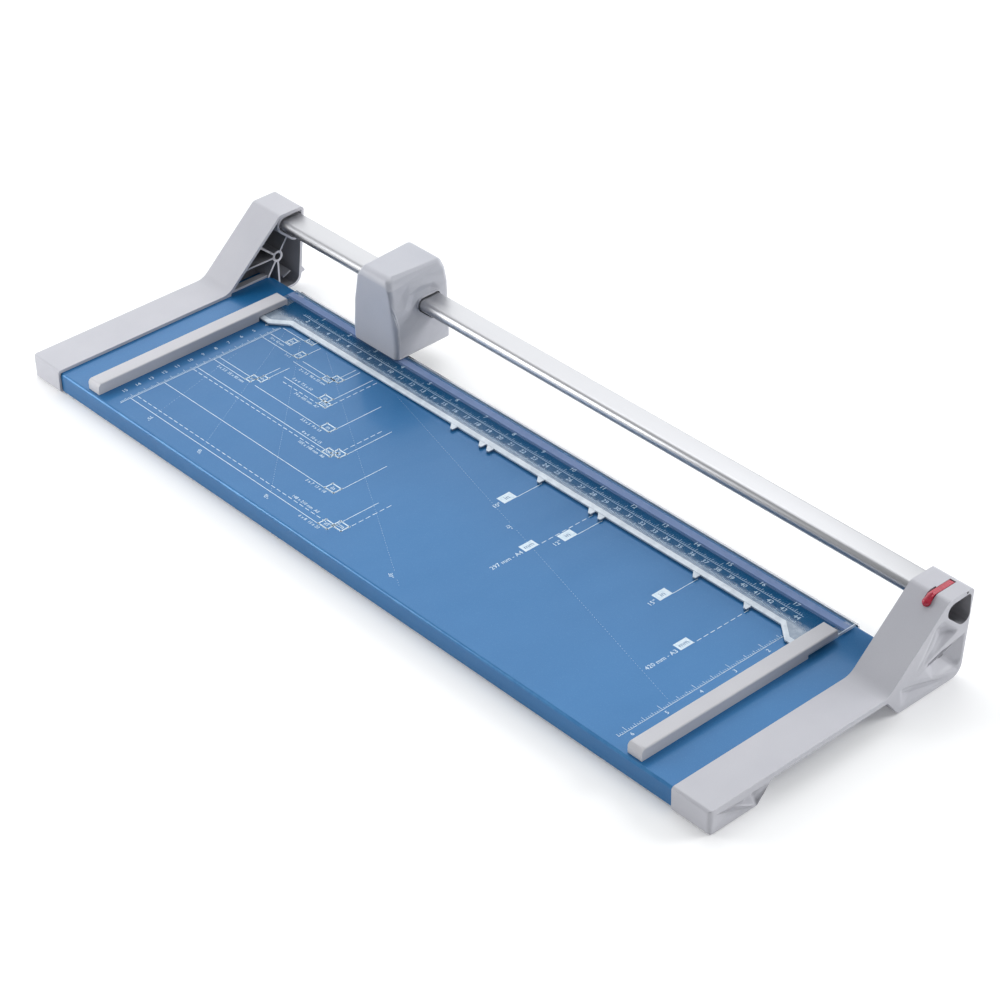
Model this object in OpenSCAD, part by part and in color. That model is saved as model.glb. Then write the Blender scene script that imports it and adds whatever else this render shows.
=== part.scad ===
// Desktop rolling paper trimmer. Millimetres, +X along the rail, +Y to the cutting edge, +Z up.
// The origin is the bottom centre of the whole object, on the surface that it stands on.

/* [Table] */
// Length of the table that shows between the end caps
table_len = 534; // [500:1:640]
// Depth of the table from its front flange to the cutting edge
table_depth = 167.4; // [150:0.1:220]
// Height of the table's face above the desk
table_h = 14; // [13.6:0.1:18]
// Thickness of the table's steel sheet
sheet_t = 1.2; // [0.8:0.1:1.6]
// Outer bend radius of the table's folded edges
bend_r = 1.8; // [1.6:0.1:2.4]
// Height of the front flange
front_flange_h = 12.5; // [10:0.1:13]
// Height of the flange under the cutting edge
rear_flange_h = 11; // [10:0.1:12]
// Length of the table's edge that each end cap covers
table_lap = 11; // [10:0.1:12.5]

/* [End caps] */
// Width of an end cap
cap_w = 27.2; // [26.6:0.1:32]
// Wall of a cap's tower and foot
cap_wall = 2; // [1.6:0.1:2.4]
// Thickness of a cap's top over the table
cap_top_t = 2; // [1.8:0.1:2.6]
// Thickness of a cap's front over the table's flange
cap_front_t = 1.6; // [1.2:0.1:2.4]
// Thickness of a cap's outer wall, which carries the facets
cap_face_t = 5.2; // [4.8:0.1:5.8]
// Thickness of a cap's floor
cap_floor_t = 1.6; // [1.4:0.1:2]
// Corner radius of a cap's front seen from above
cap_corner_r = 3; // [2:0.5:5]
// Length of the front foot along the desk
foot_len = 34.5; // [32:0.5:42]
// Run of the front foot's sloping back
foot_run = 10.5; // [8:0.5:14]
// Height of the lip along the outside of a cap's arm
lip_h = 3.5; // [2.8:0.1:4.5]
// Distance from the cutting edge forward to the tower's toe
toe_reach = 27.6; // [25:0.1:32]
// Run of the tower's sloping toe
toe_run = 9; // [7:0.1:11]
// Distance from the cutting edge back to the tower's heel
heel_reach = 22; // [21:0.1:25]
// Distance from the cutting edge back to the tower's top corner
back_reach = 28.1; // [27.7:0.1:29]
// Height of the tower above the table
tower_rise = 42; // [41.6:0.1:46]
// Length of the tower's flat top
tower_top_len = 20.2; // [18:0.1:22]
// Slope of the tower's leaning front
tower_slope = 42; // [38:0.5:46]
// Radius at the foot of the leaning front
tower_foot_r = 12; // [6:1:20]
// Radius at the top of the leaning front
tower_bend_r = 5; // [3:0.5:8]
// Radius of the tower's heel
heel_r = 8; // [5:0.5:10]
// Thickness of the ribs inside a tower
rib_t = 1.3; // [1:0.1:1.8]
// Distance of the ribs back from the tower's open rim
rib_setback = 1.5; // [1:0.1:3]
// Outer radius of the boss that the ribs meet at
hub_boss_r = 4; // [3.4:0.1:5]
// Radius of the hole in that boss
hub_bore_r = 2.3; // [1.6:0.1:2.5]
// Depth of the folded facets in a cap's outer wall
facet_depth = 3.2; // [2:0.1:3.4]

/* [Rail] */
// Depth of the rail from its round nose to its back
rail_depth = 16.4; // [15.6:0.1:17]
// Height of the rail's section
rail_h = 16.1; // [15:0.1:17]
// Radius of the rail's nose
rail_nose_r = 4.2; // [3.6:0.1:4.6]
// Radius of the rail's lower back edge
rail_toe_r = 4.2; // [3.6:0.1:4.6]
// Radius of the rail's upper back edge
rail_edge_r = 1.5; // [1:0.1:2]
// Fall of the rail's top from its back to its nose
rail_tilt = 0.4; // [0:0.1:1]
// Wall of the rail's extrusion
rail_wall = 1.4; // [1:0.1:1.8]
// Distance from the cutting edge back to the rail's nose
rail_reach = 8.4; // [8.2:0.1:9]
// Height of the rail's top above the table
rail_rise = 38.3; // [38:0.1:39]
// Length of the rail inside the left tower
rail_in_left = 20; // [16:0.5:20.5]
// Length of the plug in each end of the rail
plug_len = 8; // [5:0.5:12]
// Gap between the rail and its seat in a tower
seat_clear = 0.15; // [0.1:0.01:0.2]
// Gap around the rail at the mouth of a seat and in the tunnel
tunnel_clear = 0.9; // [0.6:0.1:1]
// Wall of the sleeve that holds the rail
sleeve_wall = 1.6; // [1.2:0.1:2]

/* [Fences] */
// Inner edge of each fence from the middle of the table
fence_x = 230.5; // [210:0.5:236]
// Width of a fence
fence_w = 10.5; // [10:0.1:13]
// Height of a fence above the table
fence_h = 7.3; // [6.8:0.1:9]
// Distance from the cutting edge forward to a fence's back end
fence_back = 17.5; // [16.5:0.1:18.5]
// Distance from the table's front to a fence's front end
fence_front = 3; // [2:0.1:8]
// Radius at a fence's front end
fence_nose_r = 4; // [2:0.5:5]

/* [Clamp strip] */
// Thickness of the clear strip
strip_t = 2; // [1.6:0.1:2.2]
// Travel of the strip when it is pressed
strip_travel = 0.6; // [0.5:0.05:0.7]
// Distance from the cutting edge forward to the strip's back edge
strip_back = 2.2; // [2:0.1:2.6]
// Distance from the cutting edge forward to the strip's front edge
strip_front = 30.6; // [28.6:0.1:32]
// Length of the marker teeth
tooth_len = 4.2; // [3:0.1:5]
// Width of a marker tooth at its root
tooth_root = 5.6; // [4:0.1:6.4]
// Width of a marker tooth at its tip
tooth_tip = 2; // [1:0.1:2.6]
// Length of the strip's end tabs in front of the strip
tab_len = 8.8; // [7:0.1:9]
// Width of the bevel along the strip's front edge
strip_bevel = 2.9; // [1:0.1:3.2]
// Drop of that bevel
strip_bevel_drop = 1; // [0.5:0.05:1.2]
// Distance of the strip's ends inside the fences' outer faces
strip_end_gap = 1; // [0.5:0.1:1.5]

/* [Counter blade] */
// Thickness of the counter blade
counter_t = 1.5; // [1:0.1:2]
// Height of the counter blade's edge above the table
counter_rise = 0.2; // [0.1:0.05:0.3]
// Distance of the counter blade's ends from the middle
counter_half = 240; // [225:0.5:250]
// Spacing of the counter blade's screws
counter_pitch = 110; // [90:1:115]

/* [Head] */
// Place of the head along the rail, from the middle
head_x = -151; // [-200:0.1:200]
// Width of the head at its widest
head_w = 43; // [42.4:0.1:46]
// Width of the head at its lower edge
head_low_w = 42; // [41.6:0.1:43]
// Width of the head's front below its brow
head_face_w = 33; // [32:0.1:36]
// Width of the head's back at its shoulder
head_back_w = 39.4; // [38:0.1:41]
// Width of the head's top at its front
head_top_w = 29.8; // [27:0.1:32]
// Width of the head's top at its back
head_crown_w = 32.6; // [30:0.1:35]
// Distance from the cutting edge forward to the head's front
head_front = 12; // [11.6:0.1:13]
// Distance from the cutting edge back to the head's back
head_back = 32.5; // [32:0.1:35]
// Height of the head's top above the table
head_rise = 57.5; // [56:0.1:62]
// Height above the table to which the head's front stays wide
head_cheek = 31; // [29:0.1:34]
// Height above the table of the head's shoulder at its back
head_shoulder = 42; // [40:0.1:45]
// Gap between the head and the table
head_gap = 3.6; // [3.4:0.05:3.8]
// Wall of the head's cover
head_wall = 2.2; // [1.8:0.1:2.2]
// Corner radius of the head
head_r = 4; // [3:0.1:5]
// Radius along the head's front top edge
head_brow_r = 6; // [5:0.5:8]
// Gap between a slide bush and the rail
bush_clear = 0.08; // [0.05:0.01:0.1]
// Wall of a slide bush
bush_wall = 1.8; // [1.4:0.1:2]
// Length of a slide bush
bush_len = 8; // [6:0.5:9]
// Gap between the pressing skid and the clamp strip
skid_gap = 0.3; // [0.25:0.05:0.4]

/* [Cutting wheel] */
// Diameter of the cutting wheel
wheel_d = 28; // [27:0.1:28.2]
// Thickness of the cutting wheel
wheel_t = 1; // [0.6:0.1:1.2]
// Depth that the wheel's edge passes below the table's face
wheel_dip = 2.5; // [2:0.1:3]
// Side gap between the wheel and the counter blade
wheel_gap = 0.15; // [0.1:0.01:0.2]
// Diameter of the wheel's axle
axle_d = 4; // [3.6:0.1:4.2]
// Running gap between the axle and the hub
axle_clear = 0.05; // [0.02:0.01:0.08]
// Radius of the hub's flange
hub_r = 6; // [5.4:0.1:7]
// Radius of the hub's spigot inside the wheel
spigot_r = 4.4; // [3.8:0.1:4.8]
// Side travel of the sprung wheel carrier
float_travel = 0.6; // [0.3:0.05:0.6]
// Radius of the carrier's guide stem
stem_r = 3.2; // [3.1:0.05:3.5]
// Radius of the carrier's spring
spring_r = 4.8; // [4.6:0.1:5]
// Wire of the carrier's spring
spring_wire = 0.9; // [0.7:0.1:1]

/* [Latch] */
// Distance from the right cap's inner face to the latch's strap
latch_in = 14; // [13.4:0.1:14.6]
// Width of the latch's strap
strap_w = 3.6; // [3:0.1:4]
// Thickness of the latch's strap
strap_t = 1.4; // [1.2:0.1:1.6]
// Height that the strap stands out of its groove
strap_proud = 0.1; // [0:0.05:0.4]
// Radius of the latch's finger bulb
bulb_r = 2.6; // [2.2:0.1:3]
// Radius of the latch's hinge pin
latch_pin_r = 0.7; // [0.6:0.05:0.8]
// Running gap of the latch around its pin
latch_clear = 0.05; // [0.02:0.01:0.08]
// Length of the tongue that stops the rail
tongue_len = 7.5; // [7:0.1:8]
// Gap between the rail's end and the tongue
stop_gap = 0.4; // [0.3:0.1:1]

/* [Feet and fixings] */
// Height that the rubber feet stand below the caps
foot_proud = 0.8; // [0.6:0.1:1.2]
// Radius of a rubber foot
foot_r = 5; // [4:0.1:5.2]
// Depth of a foot's pocket
foot_seat = 1.8; // [1.4:0.1:2.4]
// Radius of the cap screws
cap_screw_r = 1.5; // [1.3:0.1:1.7]
// Radius of the cap screws' heads
cap_screw_head_r = 3; // [2.7:0.1:3.2]
// Radius of the small machine screws
small_screw_r = 1.25; // [1:0.05:1.4]
// Radius of the small screws' heads
small_head_r = 2.4; // [2.1:0.1:2.6]
// Height of the small screws' heads
small_head_h = 1.5; // [1.2:0.1:1.6]
// Radius of the pins that guide the clamp strip
guide_pin_r = 1.5; // [1.2:0.1:1.6]
// Gap of the clamp strip around its guide pins
guide_clear = 0.35; // [0.3:0.05:0.5]

/* [Hidden] */
$fn = 48;
// Clearance between two fixed pieces where one is pushed into the other
fit = 0.03;
// Overshoot of cutting shapes past the face that they open
over = 1;

// Places along Y, with the whole depth centred on the origin
cut_y = (table_depth + cap_front_t - head_back) / 2;
flange_y = cut_y - table_depth;
front_y = flange_y - cap_front_t;
// Places along X
cap_x = table_len / 2;
fence_out = fence_x + fence_w;
fence_mid = fence_x + fence_w / 2;
strip_end = fence_out - strip_end_gap;
// Heights
arm_z = table_h + cap_top_t;
arch_z = arm_z - lip_h;
top_z = table_h + tower_rise;
under_z = table_h - sheet_t;
strip_lift = strip_travel + 0.3;
strip_z = table_h + strip_lift;
strip_top = strip_z + strip_t;
notch_z = strip_top + skid_gap;
rail_top = table_h + rail_rise;
head_z = table_h + head_gap;
wheel_r = wheel_d / 2;
axle_z = table_h - wheel_dip + wheel_r;

// Places of the standard sheet sizes along the ruler, from the left fence
sheet_marks = [177.8, 203.2, 210, 254, 297, 304.8, 381, 420];

// Rounds each corner [x, y, radius] of an outline, with the radius kept inside its two edges
function unit(v) = v / norm(v);
function corner(a, p, b, steps) = let (
        u = unit([a[0] - p[0], a[1] - p[1]]),
        v = unit([b[0] - p[0], b[1] - p[1]]),
        half = acos(max(-1, min(1, u * v))) / 2,
        room = min(norm([a[0] - p[0], a[1] - p[1]]), norm([b[0] - p[0], b[1] - p[1]])) * 0.48,
        r = min(p[2], room * tan(half)),
        c = [p[0], p[1]] + unit(u + v) * r / sin(half),
        s = [p[0], p[1]] + u * r / tan(half) - c,
        e = [p[0], p[1]] + v * r / tan(half) - c,
        a0 = atan2(s[1], s[0]),
        turn = atan2(s[0] * e[1] - s[1] * e[0], s * e))
    r < 0.01 ? [[p[0], p[1]]] :
    [for (k = [0:steps]) c + r * [cos(a0 + turn * k / steps), sin(a0 + turn * k / steps)]];
function rounded(pts, steps = 6) = let (n = len(pts))
    [for (i = [0:n - 1]) each corner(pts[(i + n - 1) % n], pts[i], pts[(i + 1) % n], steps)];

// Moves each edge of a counter-clockwise outline inwards by t, keeping the corner radii
function inset(pts, t) = let (n = len(pts))
    [for (i = [0:n - 1]) let (
        p = pts[i],
        a = unit([p[0] - pts[(i + n - 1) % n][0], p[1] - pts[(i + n - 1) % n][1]]),
        b = unit([pts[(i + 1) % n][0] - p[0], pts[(i + 1) % n][1] - p[1]]),
        m = [-a[1] - b[1], a[0] + b[0]],
        q = [p[0], p[1]] + m * t / (1 + a * b))
        [q[0], q[1], max(0, p[2] - t)]];

// Outline that wraps three or more discs [x, y, r], listed counter-clockwise
function side_angle(p, q) = let (
        d = [q[0] - p[0], q[1] - p[1]],
        k = (p[2] - q[2]) / norm(d))
    atan2(d[1], d[0]) - acos(k);
function wrap(discs, steps = 10) = let (n = len(discs))
    [for (i = [0:n - 1]) let (
        p = discs[i],
        a = side_angle(discs[(i + n - 1) % n], p),
        b = side_angle(p, discs[(i + 1) % n]),
        turn = (b - a + 720) % 360)
        each [for (k = [0:steps]) [p[0], p[1]] + p[2] * [cos(a + turn * k / steps),
            sin(a + turn * k / steps)]]];

// The rail's section, grown by g, as three discs: nose, lower back edge, upper back edge
nose_y = cut_y + rail_reach;
rail_back = nose_y + rail_depth;
function discs_of(g) = let (
        a = max(rail_nose_r + g, 0.2),
        b = max(rail_toe_r + g, 0.2),
        c = max(rail_edge_r + g, 0.2))
    [[nose_y - g + a, rail_top - rail_tilt + g - a, a],
    [rail_back + g - b, rail_top - rail_h - g + b, b],
    [rail_back + g - c, rail_top + g - c, c]];
rail_discs = discs_of(0);

// A cap's side outline and the outlines of its two hollows
foot_y = front_y + foot_len;
arch_y = foot_y + foot_run;
toe_y = cut_y - toe_reach;
arch_end = toe_y - toe_run;
heel_y = cut_y + heel_reach;
back_y = cut_y + back_reach;
bend_y = back_y - tower_top_len;
slope_y = bend_y - (top_z - arm_z) / tan(tower_slope);
cap_outline = [
    [front_y, foot_proud, 1.5], [foot_y, foot_proud, 1], [arch_y, arch_z, 1],
    [arch_end, arch_z, 1.5], [toe_y, foot_proud, 2], [heel_y, foot_proud, heel_r],
    [back_y, top_z, 3], [bend_y, top_z, tower_bend_r], [slope_y, arm_z, tower_foot_r],
    [front_y, arm_z, 2]];
tower_outline = [
    [toe_y, foot_proud + cap_floor_t - cap_wall, 1], [heel_y, foot_proud + cap_floor_t - cap_wall, heel_r],
    [back_y, top_z, 3], [bend_y, top_z, tower_bend_r], [slope_y, arm_z, tower_foot_r],
    [arch_end, arch_z, 1]];
foot_wall_y = cap_wall / sin(atan2(arch_z - foot_proud, foot_run));
foot_hollow = [
    [flange_y, foot_proud + cap_floor_t],
    [foot_y + cap_floor_t * foot_run / (arch_z - foot_proud) - foot_wall_y, foot_proud + cap_floor_t],
    [arch_y - foot_wall_y, arch_z],
    [arch_y - foot_wall_y, table_h],
    [flange_y, table_h]];

// Fixings shared by several pieces
cap_screw_x = table_lap / 2;
cap_screw_y = [front_y + 18, cut_y - 13];
foot_x = cap_w - cap_face_t - foot_r - fit;
foot_pos_y = [front_y + 18, cut_y + 5];
cap_screw_z0 = foot_proud + 2.2;
cap_screw_tip = table_h + 0.8;
hub_boss = [cut_y + 5.5, table_h + 12.6];
pin_y = [cut_y - 24];
fence_screw_y = [flange_y + 22, cut_y - 60];
counter_screw_z = table_h - 6;
counter_n = floor((counter_half - 12) / counter_pitch);

// The latch's hinge, the slot for its tongue, and the tongue's front and back
latch_axis = [back_y - 5.7, top_z - 1.35];
slot_y0 = bend_y - 3;
slot_y1 = bend_y + 5;
tongue_y0 = bend_y + 0.3;
tongue_y1 = bend_y + 3.6;
tongue_x = latch_in - 1;
rail_in_right = tongue_x - stop_gap;

// Places inside the head, along Y from the counter blade backwards
wheel_y0 = cut_y + counter_t + wheel_gap;
wheel_y1 = wheel_y0 + wheel_t;
hub_y1 = wheel_y1 + 1.85;
carrier_y0 = hub_y1 + 0.3;
carrier_t = 2.5;
carrier_y1 = carrier_y0 + carrier_t;
pocket_y0 = wheel_y0 - 1.45;
shoulder_y0 = carrier_y1 + 8.7;
shoulder_y1 = shoulder_y0 + 3;
ring_t = 1;
stem_y1 = shoulder_y1 + 0.2 + ring_t + 0.6;
chassis_y0 = pocket_y0 - 2.5;
chassis_y1 = cut_y + head_back - 3.5;
chassis_z0 = table_h + 5.5;
chassis_w = head_low_w / 2 - head_wall - 1.9;
block_z1 = axle_z + wheel_r + 0.9;
plate_z1 = block_z1 + 6.5;
skid_screw_z = block_z1 + 3.2;
skid_screw_x = 7;
head_screw_x = 10;
head_screw_z = table_h + 14;
carrier_half = 8;

// Point on the tower's leaning front: s down from its top bend and u above its face
function lean(s, u) = [bend_y, top_z] - [cos(tower_slope), sin(tower_slope)] * s
    + [-sin(tower_slope), cos(tower_slope)] * u;

// Turns an outline in Y and Z into a solid that runs along X from x0 to x1
module along_x(x0, x1) {
    translate([x0, 0, 0])
    rotate([90, 0, 90])
    linear_extrude(height = x1 - x0)
    children();
}

// Rail section grown by g
module rail_outline(g = 0) {
    polygon(wrap(discs_of(g)));
}

// Cylinder along Y from y0 to y1
module rod_y(x, y0, y1, z, r) {
    translate([x, y0, z])
    rotate([-90, 0, 0])
    cylinder(r = r, h = y1 - y0);
}

// Cylinder along X from x0 to x1
module rod_x(x0, x1, y, z, r) {
    translate([x0, y, z])
    rotate([0, 90, 0])
    cylinder(r = r, h = x1 - x0);
}

// Puts a cap piece, drawn from its inner face at x = 0 outwards, on the right or the left end
module at_cap(side) {
    mirror([side < 0 ? 1 : 0, 0, 0])
    translate([cap_x, 0, 0])
    children();
}

// Rib between two points of the tower's outline plane
module rib(p, q) {
    d = unit([q[0] - p[0], q[1] - p[1]]);
    w = [-d[1], d[0]] * rib_t / 2;
    along_x(rib_setback, cap_w - cap_face_t + over)
    polygon([p + w, p - w, q - w, q + w]);
}

// Three-sided dent in the outer wall: three points on the face, clockwise, and a deeper one
module dent(a, b, c, deep, depth) {
    k = (depth + over) / depth;
    polyhedron(
        points = concat([for (p = [a, b, c]) let (q = deep + (p - deep) * k) [cap_w + over, q[0], q[1]]],
            [[cap_w - depth, deep[0], deep[1]]]),
        faces = [[0, 1, 2], [1, 0, 3], [2, 1, 3], [0, 2, 3]]);
}

// Ribs, boss and rail sleeve inside a tower
module tower_inside() {
    along_x(rib_setback, cap_w - cap_face_t + over)
    translate(hub_boss)
    circle(r = hub_boss_r);
    rib(hub_boss, [bend_y - 16.5, top_z - 17.3]);
    rib(hub_boss, [bend_y - 30, table_h + 12.6]);
    rib(hub_boss, [cut_y - 3.2, table_h]);
    rib(hub_boss, [cut_y + 5.7, foot_proud]);
    rib(hub_boss, [rail_discs[1][0] - 6, rail_discs[1][1] - 1]);
    // Short clip rib low at the back
    along_x(rib_setback, cap_w - cap_face_t + over)
    polygon([[cut_y + 9, 9.2], [cut_y + 15, 11.6], [cut_y + 14.4, 12.9], [cut_y + 8.4, 10.5]]);
    // Sill that lies on the table inside the tower
    translate([2.5, slope_y + 4, table_h])
    cube([4.5, cut_y - 3 - slope_y - 4, 1.6]);
    along_x(0.5, cap_w - cap_face_t + over)
    rail_outline(tunnel_clear + sleeve_wall);
}

// Everything that is solid in a cap before the rail, the table and the screws are cut out
module cap_shell() {
    hollow_x = cap_w - cap_face_t;
    intersection() {
        along_x(0, cap_w)
        polygon(rounded(cap_outline));
        union() {
            difference() {
                along_x(0, cap_w)
                polygon(rounded(cap_outline));
                along_x(-over, hollow_x)
                polygon(foot_hollow);
                along_x(-over, hollow_x)
                polygon(rounded(inset(tower_outline, cap_wall)));
                translate([-over, arch_y + 0.7, arch_z - over])
                cube([cap_w - cap_wall + over, arch_end - arch_y - 1.8, lip_h - cap_top_t + over]);
            }
            tower_inside();
            for (y = cap_screw_y)
                translate([cap_screw_x, y, foot_proud])
                cylinder(r = cap_screw_head_r + 1.4, h = under_z - foot_proud);
            for (y = foot_pos_y)
                translate([foot_x, y, foot_proud])
                cylinder(r = foot_r + cap_wall, h = foot_seat + cap_floor_t);
        }
        // Rounds the outer front corner seen from above
        linear_extrude(height = top_z + over)
        polygon(rounded([[0, front_y, 0], [cap_w, front_y, cap_corner_r], [cap_w, back_y + over, 0],
            [0, back_y + over, 0]]));
    }
    // Catch bump on the tower's back
    along_x(0, 6)
    polygon([[heel_y + 1.6, 12.5], [heel_y + 3.4, 9.6], [heel_y + 3.2, 8.6], [heel_y, 8.2]]);
}

// A cap with every opening that both ends share
module cap_common() {
    difference() {
        cap_shell();
        // Slot for the table's edge
        translate([-over, flange_y, under_z])
        cube([over + table_lap + 0.2, table_depth + 0.2, sheet_t]);
        translate([-over, flange_y, foot_proud + cap_floor_t])
        cube([over + table_lap + 0.2, sheet_t + bend_r, under_z - foot_proud - cap_floor_t + sheet_t]);
        // Mouth of the rail's seat
        along_x(-over, 3)
        rail_outline(tunnel_clear);
        // Hole of the boss where the ribs meet
        along_x(-over, cap_w - cap_face_t - 2)
        translate(hub_boss)
        circle(r = hub_bore_r);
        for (y = cap_screw_y) {
            translate([cap_screw_x, y, foot_proud - over])
            cylinder(r = cap_screw_head_r + 0.2, h = cap_screw_z0 - foot_proud + over);
            translate([cap_screw_x, y, 0])
            cylinder(r = cap_screw_r + fit, h = cap_screw_tip);
        }
        for (y = foot_pos_y)
            translate([foot_x, y, foot_proud - over])
            cylinder(r = foot_r + fit, h = foot_seat + over);
        facets();
    }
}

// Folded facets of the outer wall
module facets() {
    d = facet_depth;
    h = foot_proud;
    dent([toe_y + 10.6, arm_z + 1], [back_y - 4.6, table_h + 14.5], [heel_y - 1.6, h + 3],
        [cut_y + 4, table_h + 7.5], d);
    dent([toe_y + 16, table_h + 8], [bend_y - 2.4, table_h + 27], [back_y - 11, table_h + 18.5],
        [cut_y + 7, table_h + 19.5], d * 0.65);
    dent([toe_y + 1.4, table_h - 0.6], [heel_y - 9, h + 1.9], [toe_y + 2, h + 3],
        [toe_y + 11, h + 7], d * 0.45);
    dent([front_y + 5, table_h - 2], [foot_y + 3.4, table_h - 4.4], [foot_y - 3, h + 1.4],
        [front_y + 20, h + 6.2], d * 0.8);
}

// Blue folded steel table
module base_plate() {
    color("royalblue")
    difference() {
        union() {
            along_x(-cap_x - table_lap, cap_x + table_lap)
            polygon([[flange_y + bend_r, under_z], [cut_y - bend_r, under_z], [cut_y - bend_r, table_h],
                [flange_y + bend_r, table_h]]);
            along_x(-cap_x + 0.3, cap_x - 0.3)
            polygon(rounded([
                [flange_y, table_h - front_flange_h, 0.3],
                [flange_y + sheet_t, table_h - front_flange_h, 0.3],
                [flange_y + sheet_t, under_z, bend_r - sheet_t],
                [cut_y - sheet_t, under_z, bend_r - sheet_t],
                [cut_y - sheet_t, table_h - rear_flange_h, 0.3],
                [cut_y, table_h - rear_flange_h, 0.3],
                [cut_y, table_h, bend_r],
                [flange_y, table_h, bend_r]]));
        }
        for (s = [-1, 1]) {
            for (y = cap_screw_y)
                translate([s * (cap_x + cap_screw_x), y, under_z - over])
                cylinder(r = cap_screw_r + 0.3, h = sheet_t + 2 * over);
            for (y = fence_screw_y)
                translate([s * fence_mid, y, under_z - over])
                cylinder(r = small_screw_r + fit, h = sheet_t + 2 * over);
            translate([s * fence_mid, pin_y[0], under_z - over])
            cylinder(r = guide_pin_r + fit, h = sheet_t + 2 * over);
        }
        for (i = [-counter_n:counter_n])
            rod_y(i * counter_pitch, cut_y - sheet_t - over, cut_y + over, counter_screw_z,
                small_screw_r + fit);
    }
}

// Left end cap with a blind seat for the rail
module left_end_cap() {
    color("lightsteelblue")
    at_cap(-1)
    difference() {
        cap_common();
        along_x(2, rail_in_left + 0.3)
        rail_outline(seat_clear);
    }
}

// Right end cap with the tunnel, the latch's groove and its pin hole
module right_end_cap() {
    groove_x0 = latch_in - 0.3;
    groove_x1 = latch_in + strap_w + 0.3;
    color("lightsteelblue")
    at_cap(1)
    difference() {
        cap_common();
        along_x(2, rail_in_right - 1)
        rail_outline(seat_clear);
        along_x(rail_in_right - 1.1, cap_w + over)
        rail_outline(tunnel_clear);
        // Groove for the strap, and the slot that the tongue passes through
        translate([groove_x0, slot_y0, top_z - strap_t + strap_proud - 0.25])
        cube([groove_x1 - groove_x0, latch_axis[0] - slot_y0, strap_t + over]);
        translate([tongue_x - 0.3, slot_y0, rail_top - 6])
        cube([groove_x1 - tongue_x + 0.3, slot_y1 - slot_y0, top_z - rail_top + 6 + over]);
        rod_x(groove_x0, groove_x1, latch_axis[0], latch_axis[1], latch_pin_r + 0.8);
        translate([groove_x0, latch_axis[0] - latch_pin_r - 0.8, latch_axis[1]])
        cube([groove_x1 - groove_x0, 2 * latch_pin_r + 1.6, top_z]);
        rod_x(latch_in - 2.5, cap_w + over, latch_axis[0], latch_axis[1], latch_pin_r + fit);
    }
}

// Hollow aluminium rail
module guide_rail() {
    color("gainsboro")
    along_x(-cap_x - rail_in_left, cap_x + rail_in_right)
    difference() {
        rail_outline();
        rail_outline(-rail_wall);
    }
}

// Plastic plug in each end of the rail
module rail_plugs() {
    color("dimgray")
    for (x = [-cap_x - rail_in_left, cap_x + rail_in_right - plug_len])
        along_x(x, x + plug_len)
        difference() {
            rail_outline(-rail_wall - fit);
            rail_outline(-rail_wall - 1.2);
        }
}

// Fence with a rounded front end and a notch for the clamp strip under its back end
module fence(side) {
    y0 = flange_y + fence_front;
    y1 = cut_y - fence_back;
    notch_y = cut_y - strip_front - tab_len - 1.2;
    mirror([side < 0 ? 1 : 0, 0, 0])
    difference() {
        translate([fence_x, 0, 0])
        intersection() {
            along_x(0, fence_w)
            polygon(rounded([
                [y0, table_h, 0], [notch_y, table_h, 0], [notch_y, notch_z, 0.6], [y1, notch_z, 0.3],
                [y1, table_h + fence_h, 0.8], [y0, table_h + fence_h, fence_nose_r]]));
            translate([0, y0 - over, 0])
            rotate([-90, 0, 0])
            linear_extrude(height = y1 - y0 + 2 * over)
            polygon(rounded([[0, -table_h - fence_h, 0.9], [fence_w, -table_h - fence_h, 0.9],
                [fence_w, 0, 0], [0, 0, 0]]));
        }
        for (y = fence_screw_y)
            translate([fence_mid, y, table_h - over])
            cylinder(r = small_screw_r + fit, h = 4.6 + over);
        translate([fence_mid, pin_y[0], table_h])
        cylinder(r = guide_pin_r + fit, h = notch_z - table_h + 2.5);
    }
}

module left_fence() {
    color("silver")
    fence(-1);
}

module right_fence() {
    color("silver")
    fence(1);
}

// Screws from below that hold the fences
module fence_screws() {
    color("slategray")
    for (s = [-1, 1])
        for (y = fence_screw_y)
            translate([s * fence_mid, y, under_z - small_head_h]) {
                cylinder(r = small_head_r, h = small_head_h);
                cylinder(r = small_screw_r, h = small_head_h + sheet_t + 4.2);
            }
}

// Steel strip that the wheel cuts against
module counter_blade() {
    color("gray")
    difference() {
        translate([-counter_half, cut_y, table_h - rear_flange_h])
        cube([2 * counter_half, counter_t, rear_flange_h + counter_rise]);
        for (i = [-counter_n:counter_n])
            rod_y(i * counter_pitch, cut_y - over, cut_y + counter_t + over, counter_screw_z,
                small_screw_r + fit);
    }
}

// Screws through the rear flange into the counter blade
module counter_blade_screws() {
    color("slategray")
    for (i = [-counter_n:counter_n]) {
        rod_y(i * counter_pitch, cut_y - sheet_t - small_head_h, cut_y - sheet_t, counter_screw_z,
            small_head_r);
        rod_y(i * counter_pitch, cut_y - sheet_t - small_head_h, cut_y + counter_t - 0.2,
            counter_screw_z, small_screw_r);
    }
}

// Screws that lock the table into the end caps
module cap_screws() {
    color("slategray")
    for (s = [-1, 1])
        for (y = cap_screw_y)
            translate([s * (cap_x + cap_screw_x), y, 0]) {
                translate([0, 0, cap_screw_z0 - 1.4])
                cylinder(r = cap_screw_head_r, h = 1.4);
                translate([0, 0, cap_screw_z0 - 1.4])
                cylinder(r = cap_screw_r, h = cap_screw_tip - 0.1 - cap_screw_z0 + 1.4);
            }
}

// Rubber feet in the pockets under the end caps
module rubber_feet() {
    color("darkslategray")
    for (s = [-1, 1])
        for (y = foot_pos_y)
            translate([s * (cap_x + foot_x), y, 0])
            cylinder(r = foot_r, h = foot_proud + foot_seat);
}

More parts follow.
